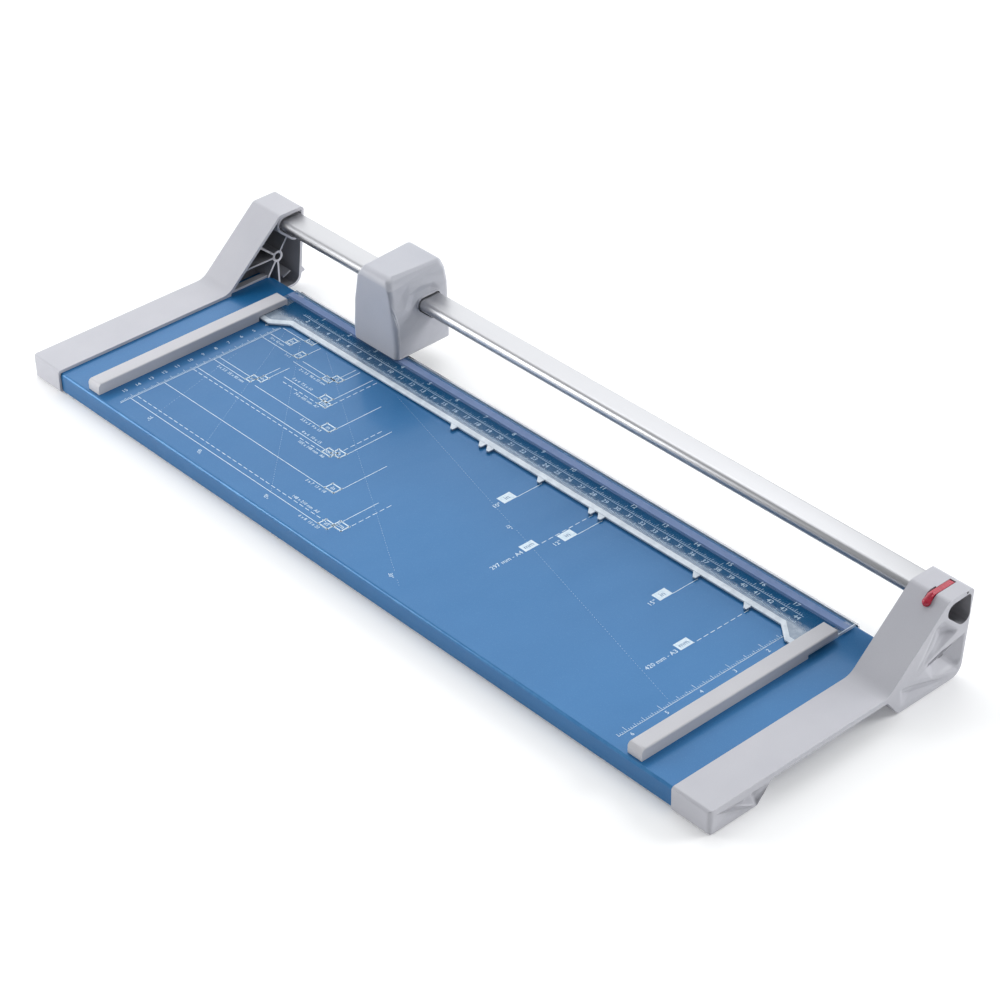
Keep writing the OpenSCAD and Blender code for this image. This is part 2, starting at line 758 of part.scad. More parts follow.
// Pins that guide the clamp strip up and down
module strip_guide_pins() {
    color("silver")
    for (s = [-1, 1])
        translate([s * fence_mid, pin_y[0], under_z])
        cylinder(r = guide_pin_r, h = notch_z + 2.4 - under_z);
}

// Bowed leaf springs that lift the clamp strip
module strip_springs() {
    half = 7;
    t = 0.2;
    h = strip_lift - 0.06;
    color("silver")
    for (s = [-1, 1])
        translate([s * fence_mid, cut_y - 9, table_h])
        along_x(-3, 3)
        polygon(concat(
            [for (a = [-1:0.125:1]) [half * a, h * (1 - a * a) * 0.98 + 0.02 - (1 - a * a) * t * 0.98]],
            [for (a = [1:-0.125:-1]) [half * a, h * (1 - a * a) * 0.98 + 0.02 + a * a * t]]));
}

// End tab of the strip on the right, bevelled along its front and its slanting side
module strip_tab(yf, tab_y, bend_x, tab_x) {
    fall = strip_bevel_drop / strip_bevel;
    back = yf + strip_bevel + 2;
    run = (back - tab_y) / tab_len;
    slant = atan2(tab_len, tab_x - bend_x);
    difference() {
        translate([0, 0, strip_z])
        linear_extrude(height = strip_t)
        polygon([[tab_x, tab_y], [strip_end, tab_y], [strip_end, back],
            [tab_x - (tab_x - bend_x) * run, back]]);
        for (a = [0, -slant])
            translate([tab_x, tab_y, strip_top - strip_bevel_drop])
            rotate([0, 0, a])
            along_x(-60, 60)
            polygon([[-3, -3 * fall], [strip_bevel + over / fall, strip_bevel_drop + over],
                [-3, strip_bevel_drop + over]]);
    }
}

// Clear strip with a bevelled front edge, marker teeth and end tabs
module clamp_strip() {
    yb = cut_y - strip_back;
    yf = cut_y - strip_front;
    low = strip_top - strip_bevel_drop;
    color("azure")
    difference() {
        union() {
            along_x(-strip_end, strip_end)
            polygon([[yf, strip_z], [yb, strip_z], [yb, strip_top], [yf + strip_bevel, strip_top],
                [yf, low]]);
            for (s = [0, 1])
                mirror([s, 0, 0])
                strip_tab(yf, yf - tab_len, fence_x - 19, fence_x - 8);
            for (m = sheet_marks)
                translate([m - fence_x, yf, strip_z])
                linear_extrude(height = low - 0.15 - strip_z)
                polygon([[-tooth_root, 0.5], [-tooth_root, 0], [-tooth_tip, -tooth_len],
                    [0, -tooth_len], [0, 0.5]]);
        }
        for (s = [-1, 1])
            translate([s * fence_mid, pin_y[0], strip_z - over])
            cylinder(r = guide_pin_r + guide_clear, h = strip_t + 2 * over);
    }
}

// Red latch: strap, finger bulb, tongue and hinge eye
module rail_latch() {
    x0 = latch_in;
    x1 = latch_in + strap_w;
    zt = top_z + strap_proud;
    zb = zt - strap_t;
    // The strap follows the leaning face, just above it, from the bend down to the bulb
    air = 0.3;
    bend_s = ((air + strap_t) * cos(tower_slope) - strap_proud) / sin(tower_slope);
    slot_s = (bend_y - air * sin(tower_slope) - slot_y0 - 0.4) / cos(tower_slope);
    bulb = lean(6.1, 0.6);
    neck = lean(1.3, 0.2);
    color("crimson")
    at_cap(1)
    difference() {
        union() {
            along_x(x0, x1)
            polygon([[latch_axis[0], zb], [latch_axis[0], zt], lean(bend_s, air + strap_t),
                lean(6.5, air + strap_t), lean(6.5, air), lean(slot_s, air), [tongue_y0, zb]]);
            rod_x(x0, x1, latch_axis[0], latch_axis[1], latch_pin_r + 0.6);
            along_x(tongue_x, x1)
            polygon([[tongue_y0, zb + 0.1], [tongue_y0, zt - strap_t - tongue_len],
                [tongue_y0 + 1.4, zt - strap_t - tongue_len - 0.8], [tongue_y1, zt - strap_t - tongue_len],
                [tongue_y1, zb + 0.1]]);
            difference() {
                hull() {
                    translate([(x0 + x1) / 2, bulb[0], bulb[1]])
                    sphere(r = bulb_r, $fn = 28);
                    translate([(x0 + x1) / 2, neck[0], neck[1]])
                    sphere(r = strap_w / 2 - 0.1, $fn = 20);
                }
                // Flat that lies just above the leaning face
                along_x(x0 - 6, x1 + 6)
                polygon([lean(-4, air + 0.1), lean(16, air + 0.1), lean(16, -9), lean(-4, -9)]);
            }
        }
        rod_x(x0 - over, x1 + over, latch_axis[0], latch_axis[1], latch_pin_r + latch_clear);
    }
}

// Hinge pin of the latch
module latch_pin() {
    color("silver")
    at_cap(1)
    rod_x(latch_in - 2.4, latch_in + strap_w + 2.8, latch_axis[0], latch_axis[1], latch_pin_r);
}

// Rounded, tapered block of the head, shrunk by g on every side
module head_block(g) {
    r = head_r - min(g, head_r - 1.2);
    rb = head_brow_r - g;
    rc = 4 - g;
    yf = cut_y - head_front + g;
    yb = cut_y + head_back - g;
    zt = table_h + head_rise - g;
    z0 = head_z + (g > 0 ? -over : 0);
    // Half width, height and thickness of the slices in front, then of those behind
    front = [[head_low_w / 2, z0], [head_w / 2, head_z + 6], [head_w / 2 - 1.7, table_h + head_cheek],
        [head_face_w / 2, table_h + head_rise - 7.5]];
    rear = [[head_low_w / 2 - 0.5, z0], [head_w / 2 - 0.9, head_z + 6],
        [head_back_w / 2, table_h + head_shoulder], [head_back_w / 2 - 2, table_h + head_rise - 7]];
    hull()
    for (s = [-1, 1]) {
        for (p = front)
            translate([s * (p[0] - g - r), yf + r, p[1]])
            cylinder(r = r, h = 0.5, $fn = 32);
        for (p = rear)
            translate([s * (p[0] - g - r * 0.6), yb - r * 0.6, p[1]])
            cylinder(r = r * 0.6, h = 0.5, $fn = 32);
        translate([s * (head_top_w / 2 - g - rc), yf + rb, zt - rb])
        rotate([0, 90, 0])
        cylinder(r = rb, h = 0.01, $fn = 32);
        translate([s * (head_top_w / 2 - g - rc * 0.3), yf + rb, zt - rb])
        rotate([0, 90, 0])
        cylinder(r = rb - rc * 0.5, h = 0.01, $fn = 32);
        translate([s * (head_crown_w / 2 - g - rc), yb - rc, zt - rc])
        sphere(r = rc, $fn = 24);
    }
}

// Moves a head piece, drawn around x = 0, to the head's place along the rail
module at_head() {
    translate([head_x, 0, 0])
    children();
}

// Grey cover of the head, open below and pierced by the rail
module head_cover() {
    color("lightsteelblue")
    at_head()
    difference() {
        union() {
            difference() {
                head_block(0);
                head_block(head_wall);
            }
            // Pads that take the cover's screws
            for (s = [-1, 1])
                rod_y(s * head_screw_x, chassis_y1, cut_y + head_back - 1, head_screw_z, 3.8);
        }
        along_x(-head_w, head_w)
        rail_outline(0.7);
        for (s = [-1, 1]) {
            rod_y(s * head_screw_x, chassis_y1 - over, cut_y + head_back + over, head_screw_z,
                small_screw_r + 0.2);
            rod_y(s * head_screw_x, cut_y + head_back - 1.7, cut_y + head_back + over, head_screw_z,
                small_head_r + 0.2);
        }
    }
}

// Frame inside the head: carries the bushes, the skid and the wheel carrier
module head_chassis() {
    color("dimgray")
    at_head()
    difference() {
        union() {
            translate([-chassis_w, chassis_y0, chassis_z0])
            cube([2 * chassis_w, chassis_y1 - chassis_y0, block_z1 - 6 - chassis_z0]);
            translate([-chassis_w, chassis_y0, chassis_z0])
            cube([2 * chassis_w, carrier_y0 + 4 - chassis_y0, plate_z1 - chassis_z0]);
            along_x(-14, 14)
            rail_outline(bush_clear + bush_wall + 2.2);
        }
        // Passage for the rail and its bushes
        along_x(-head_w, head_w)
        rail_outline(bush_clear + bush_wall + fit);
        // Pocket of the wheel, open below
        translate([-wheel_r - 0.7, pocket_y0, 0])
        cube([wheel_d + 1.4, carrier_y0 - 0.1 - pocket_y0, block_z1]);
        // Pocket of the carrier
        translate([-carrier_half - 0.3, pocket_y0, axle_z - carrier_half - 0.3])
        cube([2 * carrier_half + 0.6, carrier_y1 + float_travel + 0.3 - pocket_y0,
            2 * carrier_half + 0.6]);
        rod_y(0, carrier_y0, shoulder_y0, axle_z, spring_r + 0.3);
        rod_y(0, carrier_y0, chassis_y1, axle_z, stem_r + 0.05);
        rod_y(0, shoulder_y1, chassis_y1 + over, axle_z, spring_r + 0.3);
        // Hollows beside the stem, open below
        for (s = [-1, 1])
            translate([s * (chassis_w + spring_r + 1.6) / 2, (shoulder_y0 + chassis_y1) / 2, 0])
            translate([-4, -5, 0])
            cube([8, 8, chassis_z0 + 6]);
        for (s = [-1, 1]) {
            rod_y(s * head_screw_x, chassis_y1 - 6, chassis_y1 + over, head_screw_z,
                small_screw_r + fit);
            rod_y(s * skid_screw_x, chassis_y0 - over, chassis_y0 + 5, skid_screw_z,
                small_screw_r + fit);
        }
    }
}

// Two liners that run on the rail
module slide_bushes() {
    color("black")
    at_head()
    for (s = [-1, 1])
        along_x(s > 0 ? 14 - bush_len : -14, s > 0 ? 14 : bush_len - 14)
        difference() {
            rail_outline(bush_clear + bush_wall);
            rail_outline(bush_clear);
        }
}

// Skid in front of the wheel that presses the clamp strip
module pressing_skid() {
    z0 = strip_top + skid_gap;
    back = chassis_y0 - 0.05;
    front = cut_y - head_front + head_wall + 0.6;
    color("darkgray")
    at_head()
    difference() {
        union() {
            along_x(-13, 13)
            polygon(rounded([[front, z0, 1.2], [back, z0, 0.6], [back, z0 + 6, 0], [back - 2.2, z0 + 6, 0],
                [back - 2.2, z0 + 4, 1], [front, z0 + 4, 1.2]]));
            translate([-skid_screw_x - 3.4, back - 2.2, z0 + 3])
            cube([2 * skid_screw_x + 6.8, 2.2, skid_screw_z + 3.2 - z0 - 3]);
        }
        for (s = [-1, 1])
            rod_y(s * skid_screw_x, back - 2.2 - over, back + over, skid_screw_z, small_screw_r + 0.15);
    }
}

// Screws of the skid
module skid_screws() {
    y = chassis_y0 - 0.05 - 2.2;
    color("slategray")
    at_head()
    for (s = [-1, 1]) {
        rod_y(s * skid_screw_x, y - small_head_h, y, skid_screw_z, small_head_r);
        rod_y(s * skid_screw_x, y - small_head_h, chassis_y0 + 4.6, skid_screw_z, small_screw_r);
    }
}

// Screws from behind that hold the head's cover
module head_screws() {
    y = cut_y + head_back - 1.7;
    color("slategray")
    at_head()
    for (s = [-1, 1]) {
        rod_y(s * head_screw_x, y, y + small_head_h, head_screw_z, small_head_r);
        rod_y(s * head_screw_x, chassis_y1 - 5.6, y + small_head_h, head_screw_z, small_screw_r);
    }
}

// Sprung carrier behind the wheel: a square plate with a guide stem
module blade_carrier() {
    c = carrier_half;
    color("gray")
    at_head()
    difference() {
        union() {
            translate([0, carrier_y1, axle_z])
            rotate([90, 0, 0])
            linear_extrude(height = carrier_t)
            polygon(rounded([[-c, -c, 2], [c, -c, 2], [c, c, 2], [-c, c, 2]]));
            rod_y(0, carrier_y1 - 0.5, stem_y1, axle_z, stem_r);
        }
        rod_y(0, carrier_y0 - over, carrier_y0 + 9, axle_z, axle_d / 2 + fit);
        // Groove of the retaining ring
        translate([0, shoulder_y1 + 0.2, axle_z])
        rotate([-90, 0, 0])
        difference() {
            cylinder(r = stem_r + over, h = ring_t + 0.1);
            translate([0, 0, -over])
            cylinder(r = stem_r - 0.5, h = ring_t + 3 * over);
        }
    }
}

// Retaining ring on the carrier's stem
module stem_ring() {
    color("silver")
    at_head()
    translate([0, shoulder_y1 + 0.25, axle_z])
    rotate([-90, 0, 0])
    difference() {
        cylinder(r = stem_r + 1.3, h = ring_t);
        translate([0, 0, -over])
        cylinder(r = stem_r - 0.5 + fit, h = ring_t + 2 * over);
    }
}

// Spring around the stem, as the tube that its coils fill when it is pressed
module carrier_spring() {
    y0 = carrier_y1 + float_travel + 0.1;
    y1 = shoulder_y0 - 0.05;
    color("silver")
    at_head()
    difference() {
        rod_y(0, y0, y1, axle_z, spring_r);
        rod_y(0, y0 - over, y1 + over, axle_z, spring_r - spring_wire);
    }
}

// Axle pin pressed into the carrier
module blade_axle() {
    color("silver")
    at_head()
    difference() {
        rod_y(0, wheel_y0 - 0.1, carrier_y0 + 8.9, axle_z, axle_d / 2);
        rod_y(0, wheel_y0 - over, wheel_y0 + 6, axle_z, 0.9 + fit);
    }
}

// Cutting wheel, flat towards the counter blade and ground on its back
module round_blade() {
    color("silver")
    at_head()
    translate([0, wheel_y0, axle_z])
    rotate([-90, 0, 0])
    rotate_extrude($fn = 96)
    polygon([[spigot_r + fit, 0], [wheel_r, 0], [wheel_r, 0.12], [wheel_r - 2.2, wheel_t],
        [spigot_r + fit, wheel_t]]);
}

// Hub that carries the wheel on the axle
module blade_hub() {
    color("dimgray")
    at_head()
    translate([0, 0, axle_z])
    difference() {
        union() {
            rod_y(0, wheel_y0, hub_y1, 0, spigot_r);
            rod_y(0, wheel_y1 + fit, hub_y1, 0, hub_r);
        }
        rod_y(0, wheel_y0 - over, hub_y1 + over, 0, axle_d / 2 + axle_clear);
    }
}

// Screw that keeps the hub on its axle
module axle_screw() {
    y = wheel_y0 - 0.15;
    color("slategray")
    at_head()
    difference() {
        union() {
            rod_y(0, y - 0.9, y, axle_z, 3.5);
            rod_y(0, y - 0.9, wheel_y0 + 5.8, axle_z, 0.9);
        }
        translate([-2.4, y - 0.9 - over, axle_z - 0.35])
        cube([4.8, over + 0.4, 0.7]);
    }
}

base_plate();
left_end_cap();
right_end_cap();
guide_rail();
rail_plugs();
left_fence();
right_fence();
fence_screws();
counter_blade();
counter_blade_screws();
cap_screws();
rubber_feet();
strip_guide_pins();
strip_springs();
clamp_strip();
rail_latch();
latch_pin();
head_cover();
head_chassis();
slide_bushes();
pressing_skid();
skid_screws();
head_screws();
blade_carrier();
blade_axle();
stem_ring();
carrier_spring();
round_blade();
blade_hub();
axle_screw();
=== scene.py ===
"""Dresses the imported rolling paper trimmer: detailed pieces, finishes, prints, light and camera."""

import logging
import math
from collections.abc import Callable, Sequence
from dataclasses import dataclass, field
from enum import Enum

import bmesh
import bpy
from mathutils import Euler, Matrix, Vector
from mathutils.bvhtree import BVHTree
from mathutils.geometry import delaunay_2d_cdt


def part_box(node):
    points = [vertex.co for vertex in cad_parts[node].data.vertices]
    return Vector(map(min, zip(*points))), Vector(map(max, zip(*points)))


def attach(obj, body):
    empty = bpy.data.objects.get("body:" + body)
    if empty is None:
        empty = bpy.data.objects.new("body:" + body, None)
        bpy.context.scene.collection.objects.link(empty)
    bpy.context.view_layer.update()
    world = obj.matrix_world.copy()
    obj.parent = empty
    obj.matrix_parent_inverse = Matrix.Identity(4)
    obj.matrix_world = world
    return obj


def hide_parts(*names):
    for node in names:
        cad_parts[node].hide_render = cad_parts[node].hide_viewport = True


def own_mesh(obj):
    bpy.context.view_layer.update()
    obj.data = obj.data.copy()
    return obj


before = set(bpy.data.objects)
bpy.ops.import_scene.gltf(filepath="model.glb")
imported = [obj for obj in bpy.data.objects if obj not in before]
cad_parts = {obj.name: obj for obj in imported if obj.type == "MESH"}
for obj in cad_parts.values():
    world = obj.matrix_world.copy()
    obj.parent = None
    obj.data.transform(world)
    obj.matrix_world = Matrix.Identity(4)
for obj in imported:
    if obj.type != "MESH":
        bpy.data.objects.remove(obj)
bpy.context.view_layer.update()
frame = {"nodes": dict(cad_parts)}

MM = 0.001
CORNER = 60.0  # a fold of more degrees than this is a corner
ON_PLANE = 0.02  # a point this many millimetres off a plane still lies on it
RANGE_SOCKETS = ("From Min", "From Max", "To Min", "To Max")
log = logging.getLogger("trimmer")

Colour = tuple[float, float, float]
Point = tuple[float, float]
Depth = tuple[float, float, float]


class Body(Enum):
    """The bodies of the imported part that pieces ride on."""

    BASE = "base"
    CLAMP = "clamp"
    LATCH = "latch"
    HEAD = "head"
    CARRIER = "carrier"
    WHEEL = "wheel"


class Slot(Enum):
    """The material slots of the part's record."""

    TABLE = "blue_table"
    CAP = "cap_grey"
    HEAD = "head_grey"
    FENCE = "fence_grey"
    RAIL = "rail_aluminium"
    BLADE = "blade_steel"
    SCREW = "screw_steel"
    SPRING = "spring_steel"
    CARRIER = "carrier_metal"
    STRIP = "clear_strip"
    LATCH = "latch_red"
    BLACK = "black_plastic"
    BUSH = "bush_plastic"
    SKID = "skid_grey"
    RUBBER = "foot_rubber"


class Way(Enum):
    """The direction in which a label on the table is read."""

    ALONG = 0.0
    UP = 90.0


# Finishes


class Graph:
    """Wires the shader nodes of one material."""

    def __init__(self, name: str) -> None:
        """Starts an empty material with a shader and its output.

        Args:
            name: The material's name.
        """
        self.material = bpy.data.materials.new(name)
        self.material.use_nodes = True
        self.tree = self.material.node_tree
        self.tree.nodes.clear()
        self.shader = self.add("ShaderNodeBsdfPrincipled")
        out = self.add("ShaderNodeOutputMaterial")
        self.join(self.shader.outputs["BSDF"], out.inputs["Surface"])
        self.place = self.add("ShaderNodeTexCoord").outputs["Object"]

    def add(self, kind: str, **values: object) -> bpy.types.ShaderNode:
        """Adds a node and sets its properties.

        Args:
            kind: Blender's name of the node's type.
            **values: Properties of the node by name.

        Returns:
            The new node.
        """
        node = self.tree.nodes.new(kind)
        for key, value in values.items():
            setattr(node, key, value)
        return node

    def join(self, start: bpy.types.NodeSocket, end: bpy.types.NodeSocket) -> None:
        """Links two sockets."""
        self.tree.links.new(start, end)

    def set(self, **values: object) -> None:
        """Sets the shader's own sockets, with underscores in the names for spaces."""
        for key, value in values.items():
            self.shader.inputs[key.replace("_", " ")].default_value = value

    def noise(self, scale: float, detail: float = 3.0, rough: float = 0.5,
              stretch: Colour = (1.0, 1.0, 1.0)) -> bpy.types.NodeSocket:
        """Adds a noise pattern on the piece's own coordinates.

        Args:
            scale: Repeats per metre.
            detail: Octaves of the noise.
            rough: Share of the finer octaves.
            stretch: Factors of the three coordinates, to draw the grain out.

        Returns:
            The socket with a value from 0 to 1.
        """
        mapping = self.add("ShaderNodeMapping")
        mapping.inputs["Scale"].default_value = stretch
        self.join(self.place, mapping.inputs["Vector"])
        node = self.add("ShaderNodeTexNoise")
        node.inputs["Scale"].default_value = scale
        node.inputs["Detail"].default_value = detail
        node.inputs["Roughness"].default_value = rough
        self.join(mapping.outputs["Vector"], node.inputs["Vector"])
        return node.outputs["Fac"]

    def remap(self, value: bpy.types.NodeSocket, low: float, high: float, out_low: float,
              out_high: float) -> bpy.types.NodeSocket:
        """Maps a value's range on to another range, clamped.

        Args:
            value: The value.
            low: Where its range starts.
            high: Where its range ends.
            out_low: What low becomes.
            out_high: What high becomes.

        Returns:
            The socket with the mapped value.
        """
        node = self.add("ShaderNodeMapRange")
        self.join(value, node.inputs["Value"])
        for key, number in zip(RANGE_SOCKETS, (low, high, out_low, out_high)):
            node.inputs[key].default_value = number
        return node.outputs["Result"]

    def _pair(self, operation: str, one: bpy.types.NodeSocket,
              two: bpy.types.NodeSocket) -> bpy.types.NodeSocket:
        """Makes one value of two.

        Args:
            operation: Blender's name of the sum that is done.
            one: The first value.
            two: The second value.

        Returns:
            The socket with the result.
        """
        node = self.add("ShaderNodeMath", operation=operation)
        self.join(one, node.inputs[0])
        self.join(two, node.inputs[1])
        return node.outputs[0]

    def times(self, one: bpy.types.NodeSocket, two: bpy.types.NodeSocket) -> bpy.types.NodeSocket:
        """Multiplies two values."""
        return self._pair("MULTIPLY", one, two)

    def larger(self, one: bpy.types.NodeSocket, two: bpy.types.NodeSocket) -> bpy.types.NodeSocket:
        """Takes the larger of two values."""
        return self._pair("MAXIMUM", one, two)

    def blend(self, share: bpy.types.NodeSocket, one: Colour | bpy.types.NodeSocket,
              two: Colour | bpy.types.NodeSocket) -> bpy.types.NodeSocket:
        """Mixes two colours.

        Args:
            share: Where it is 0 the first colour shows, and where it is 1 the second.
            one: The first colour, or a socket that gives it.
            two: The second colour, or a socket that gives it.

        Returns:
            The socket with the mixed colour.
        """
        # Inputs 6 and 7 of a Mix node are its colours, and output 2 is the mixed colour.
        node = self.add("ShaderNodeMix", data_type="RGBA")
        self.join(share, node.inputs[0])
        for value, socket in ((one, node.inputs[6]), (two, node.inputs[7])):
            if isinstance(value, bpy.types.NodeSocket):
                self.join(value, socket)
            else:
                socket.default_value = (*value, 1.0)
        return node.outputs[2]

    def mark(self, name: str) -> bpy.types.NodeSocket:
        """Reads a number that the piece's faces carry under that name."""
        node = self.add("ShaderNodeAttribute", attribute_type="GEOMETRY", attribute_name=name)
        return node.outputs["Fac"]

    def colour(self, value: bpy.types.NodeSocket) -> None:
        """Sends a colour to the shader."""
        self.join(value, self.shader.inputs["Base Color"])

    def roughness(self, value: bpy.types.NodeSocket) -> None:
        """Sends a roughness to the shader."""
        self.join(value, self.shader.inputs["Roughness"])

    def bump(self, heights: Sequence[tuple[bpy.types.NodeSocket, float]],
             strength: float = 1.0) -> None:
        """Chains bumps on to the shader's normal.

        Args:
            heights: Height patterns, each with its depth in metres.
            strength: Strength of each bump.
        """
        before = None
        for height, depth in heights:
            node = self.add("ShaderNodeBump")
            node.inputs["Strength"].default_value = strength
            node.inputs["Distance"].default_value = depth
            self.join(height, node.inputs["Height"])
            if before is not None:
                self.join(before, node.inputs["Normal"])
            before = node.outputs["Normal"]
        self.join(before, self.shader.inputs["Normal"])


@dataclass(frozen=True)
class MouldedPlastic:
    """Moulded plastic with a fine spark-eroded grain, paler along its handled edges, and painted shade
    darkening its hollows.

    Attributes:
        pale, deep: Colours between which it varies.
        rough: Mean roughness.
        grain, grain_scale: Depth of the grain in metres and its repeats per metre.
        wear: Colour of the handled edges.
        fleck_shade, hollow_shade_darkness: How dark the flecks are, and how dark the painted shade in
            the hollows is, as shares of the deep colour.
    """

    name: str
    pale: Colour
    deep: Colour
    rough: float = 0.5
    grain: float = 0.00003
    grain_scale: float = 1500.0
    wear: Colour | None = None
    fleck_shade: float = 0.8
    hollow_shade_darkness: float = 0.2

    def material(self) -> bpy.types.Material:
        """Builds the finish.

        Returns:
            The material.
        """
        g = Graph(self.name)
        cloud = g.remap(g.noise(26.0, 4.0, 0.55), 0.3, 0.7, 0.0, 1.0)
        colour = g.blend(cloud, self.deep, self.pale)
        flecks = g.remap(g.noise(self.grain_scale * 1.7, 2.0), 0.35, 0.75, 0.0, 0.22)
        colour = g.blend(flecks, colour, self._deeper(self.fleck_shade))
        if self.wear:
            patches = g.remap(g.noise(140.0, 4.0, 0.7), 0.35, 0.65, 0.15, 0.75)
            colour = g.blend(g.times(g.mark("edge_wear"), patches), colour, self.wear)
        # Painted shade: faces that the piece itself hides from the sky are darkened towards the deep
        # colour.
        painted_shade = g.remap(g.mark("sky_occlusion"), 0.3, 0.9, 0.0, 0.8)
        g.colour(g.blend(painted_shade, colour, self._deeper(self.hollow_shade_darkness)))
        g.roughness(g.remap(g.noise(60.0, 5.0, 0.6), 0.3, 0.7, self.rough - 0.06, self.rough + 0.07))
        waves = (g.noise(55.0, 2.0), 0.00004)
        g.bump([(g.noise(self.grain_scale, 3.0, 0.6), self.grain), waves], 0.6)
        g.set(Specular_IOR_Level=0.45)
        return g.material

    def _deeper(self, share: float) -> Colour:
        """The deep colour, darkened to that share."""
        return tuple(part * share for part in self.deep)


@dataclass(frozen=True)
class SatinPaint:
    """Powder paint on folded steel: orange peel, a satin coat and rubbed folds.

    Attributes:
        pale, deep: Colours between which it varies.
        rough, coat: Mean roughness, and weight of the clear coat.
        flake: How metallic it is.
        rubbed: Colour of the specks and of the rubbed folds.
    """

    name: str
    pale: Colour
    deep: Colour
    rough: float = 0.38
    coat: float = 0.38
    flake: float = 0.3
    rubbed: Colour = (0.07, 0.27, 0.5)

    def material(self) -> bpy.types.Material:
        """Builds the finish.

        Returns:
            The material.
        """
        g = Graph(self.name)
        cloud = g.remap(g.noise(7.0, 3.0, 0.5), 0.32, 0.68, 0.0, 1.0)
        colour = g.blend(cloud, self.deep, self.pale)
        specks = g.remap(g.noise(2600.0, 2.0, 0.5), 0.62, 0.72, 0.0, 0.35)
        colour = g.blend(specks, colour, self.rubbed)
        patches = g.remap(g.noise(90.0, 4.0, 0.7), 0.4, 0.65, 0.1, 0.8)
        g.colour(g.blend(g.times(g.mark("edge_wear"), patches), colour, self.rubbed))
        scuffs = g.noise(32.0, 6.0, 0.7, (1.0, 0.35, 1.0))
        g.roughness(g.remap(scuffs, 0.35, 0.75, self.rough - 0.05, self.rough + 0.1))
        g.bump([(g.noise(520.0, 2.0, 0.4), 0.00005), (g.noise(2400.0, 2.0, 0.5), 0.00001)], 0.5)
        g.set(Coat_Weight=self.coat, Coat_Roughness=0.16, Specular_IOR_Level=0.4,
              Metallic=self.flake)
        return g.material


@dataclass(frozen=True)
class DrawnMetal:
    """Metal whose fine streaks follow one direction.

    Attributes:
        pale, deep: Colours between which it varies.
        stretch: Repeats of the streaks per metre along each axis.
        rough: Mean roughness.
        streak: Depth of the streaks, in metres.
        tarnish: How strong the dull spots are.
    """

    name: str
    pale: Colour
    deep: Colour
    stretch: Colour
    rough: float = 0.3
    streak: float = 0.000012
    tarnish: float = 0.25

    def material(self) -> bpy.types.Material:
        """Builds the finish.

        Returns:
            The material.
        """
        g = Graph(self.name)
        lines = g.noise(1.0, 4.0, 0.65, self.stretch)
        spots = g.remap(g.noise(38.0, 5.0, 0.6), 0.45, 0.7, 0.0, self.tarnish)
        g.colour(g.blend(spots, g.blend(lines, self.deep, self.pale), self.deep))
        g.roughness(g.remap(lines, 0.25, 0.75, self.rough - 0.07, self.rough + 0.08))
        g.bump([(lines, self.streak)], 0.7)
        g.set(Metallic=1.0, Anisotropic=0.35)
        return g.material


@dataclass(frozen=True)
class ClearAcrylic:
    """Clear acrylic with frosted edges, a milky front and a lavender band along its back.

    Attributes:
        tint, milk, lavender: Colours of the clear part, of what is frosted, and of the band.
        band: Where the band starts and ends across the strip, in metres.
        fade: Where the milky front ends, in metres.
        soft: Half width of the band's soft edges, in metres.
        clear: How opaque the clear part is.
    """

    name: str
    tint: Colour = (0.004, 0.115, 0.27)
    milk: Colour = (0.72, 0.8, 0.88)
    lavender: Colour = (0.28, 0.38, 0.64)
    band: tuple[float, float] = (0.0578, 0.0632)
    fade: tuple[float, float] = (0.0405, 0.0465)
    soft: float = 0.0005
    clear: float = 0.24

    def material(self) -> bpy.types.Material:
        """Builds the finish.

        Returns:
            The material.
        """
        g = Graph(self.name)
        split = g.add("ShaderNodeSeparateXYZ")
        g.join(g.place, split.inputs[0])
        across = split.outputs["Y"]
        start, end = self.band
        rise = g.remap(across, start - self.soft, start + self.soft, 0.0, 1.0)
        fall = g.remap(across, end - self.soft, end + self.soft, 1.0, 0.0)
        inside = g.times(rise, fall)
        cloud = g.noise(160.0, 4.0, 0.6)
        band = g.times(inside, g.remap(cloud, 0.3, 0.7, 0.5, 0.62))
        edges = g.larger(g.mark("frost"), g.mark("edge_wear"))
        frost = g.times(edges, g.remap(cloud, 0.3, 0.7, 0.82, 1.0))
        front = g.remap(across, *self.fade, 1.0, 0.0)
        fade = g.times(front, g.remap(cloud, 0.3, 0.7, 0.4, 0.62))
        white = g.larger(frost, fade)
        colour = g.blend(inside, self.tint, self.lavender)
        g.colour(g.blend(white, colour, self.milk))
        g.join(g.remap(g.larger(white, band), 0.0, 1.0, self.clear, 0.96), g.shader.inputs["Alpha"])
        wipe = g.remap(g.noise(24.0, 6.0, 0.7, (1.0, 3.0, 1.0)), 0.35, 0.75, 0.05, 0.14)
        g.roughness(g.larger(wipe, g.remap(white, 0.0, 1.0, 0.0, 0.5)))
        g.bump([(g.noise(700.0, 3.0, 0.6), 0.000006)], 0.5)
        g.set(IOR=1.49, Coat_Weight=1.0, Coat_Roughness=0.05)
        return g.material


@dataclass(frozen=True)
class GlossPlastic:
    """Glossy coloured plastic with light handling scratches."""

    name: str
    pale: Colour
    deep: Colour
    rough: float = 0.22

    def material(self) -> bpy.types.Material:
        """Builds the finish.

        Returns:
            The material.
        """
        g = Graph(self.name)
        cloud = g.remap(g.noise(300.0, 4.0, 0.6), 0.3, 0.7, 0.0, 1.0)
        g.colour(g.blend(cloud, self.deep, self.pale))
        scratches = g.noise(240.0, 6.0, 0.7, (1.0, 6.0, 1.0))
        g.roughness(g.remap(scratches, 0.35, 0.7, self.rough - 0.05, self.rough + 0.12))
        g.bump([(g.noise(900.0, 4.0, 0.6), 0.00001)], 0.5)
        g.set(Coat_Weight=0.35, Coat_Roughness=0.12, Subsurface_Weight=0.04)
        return g.material


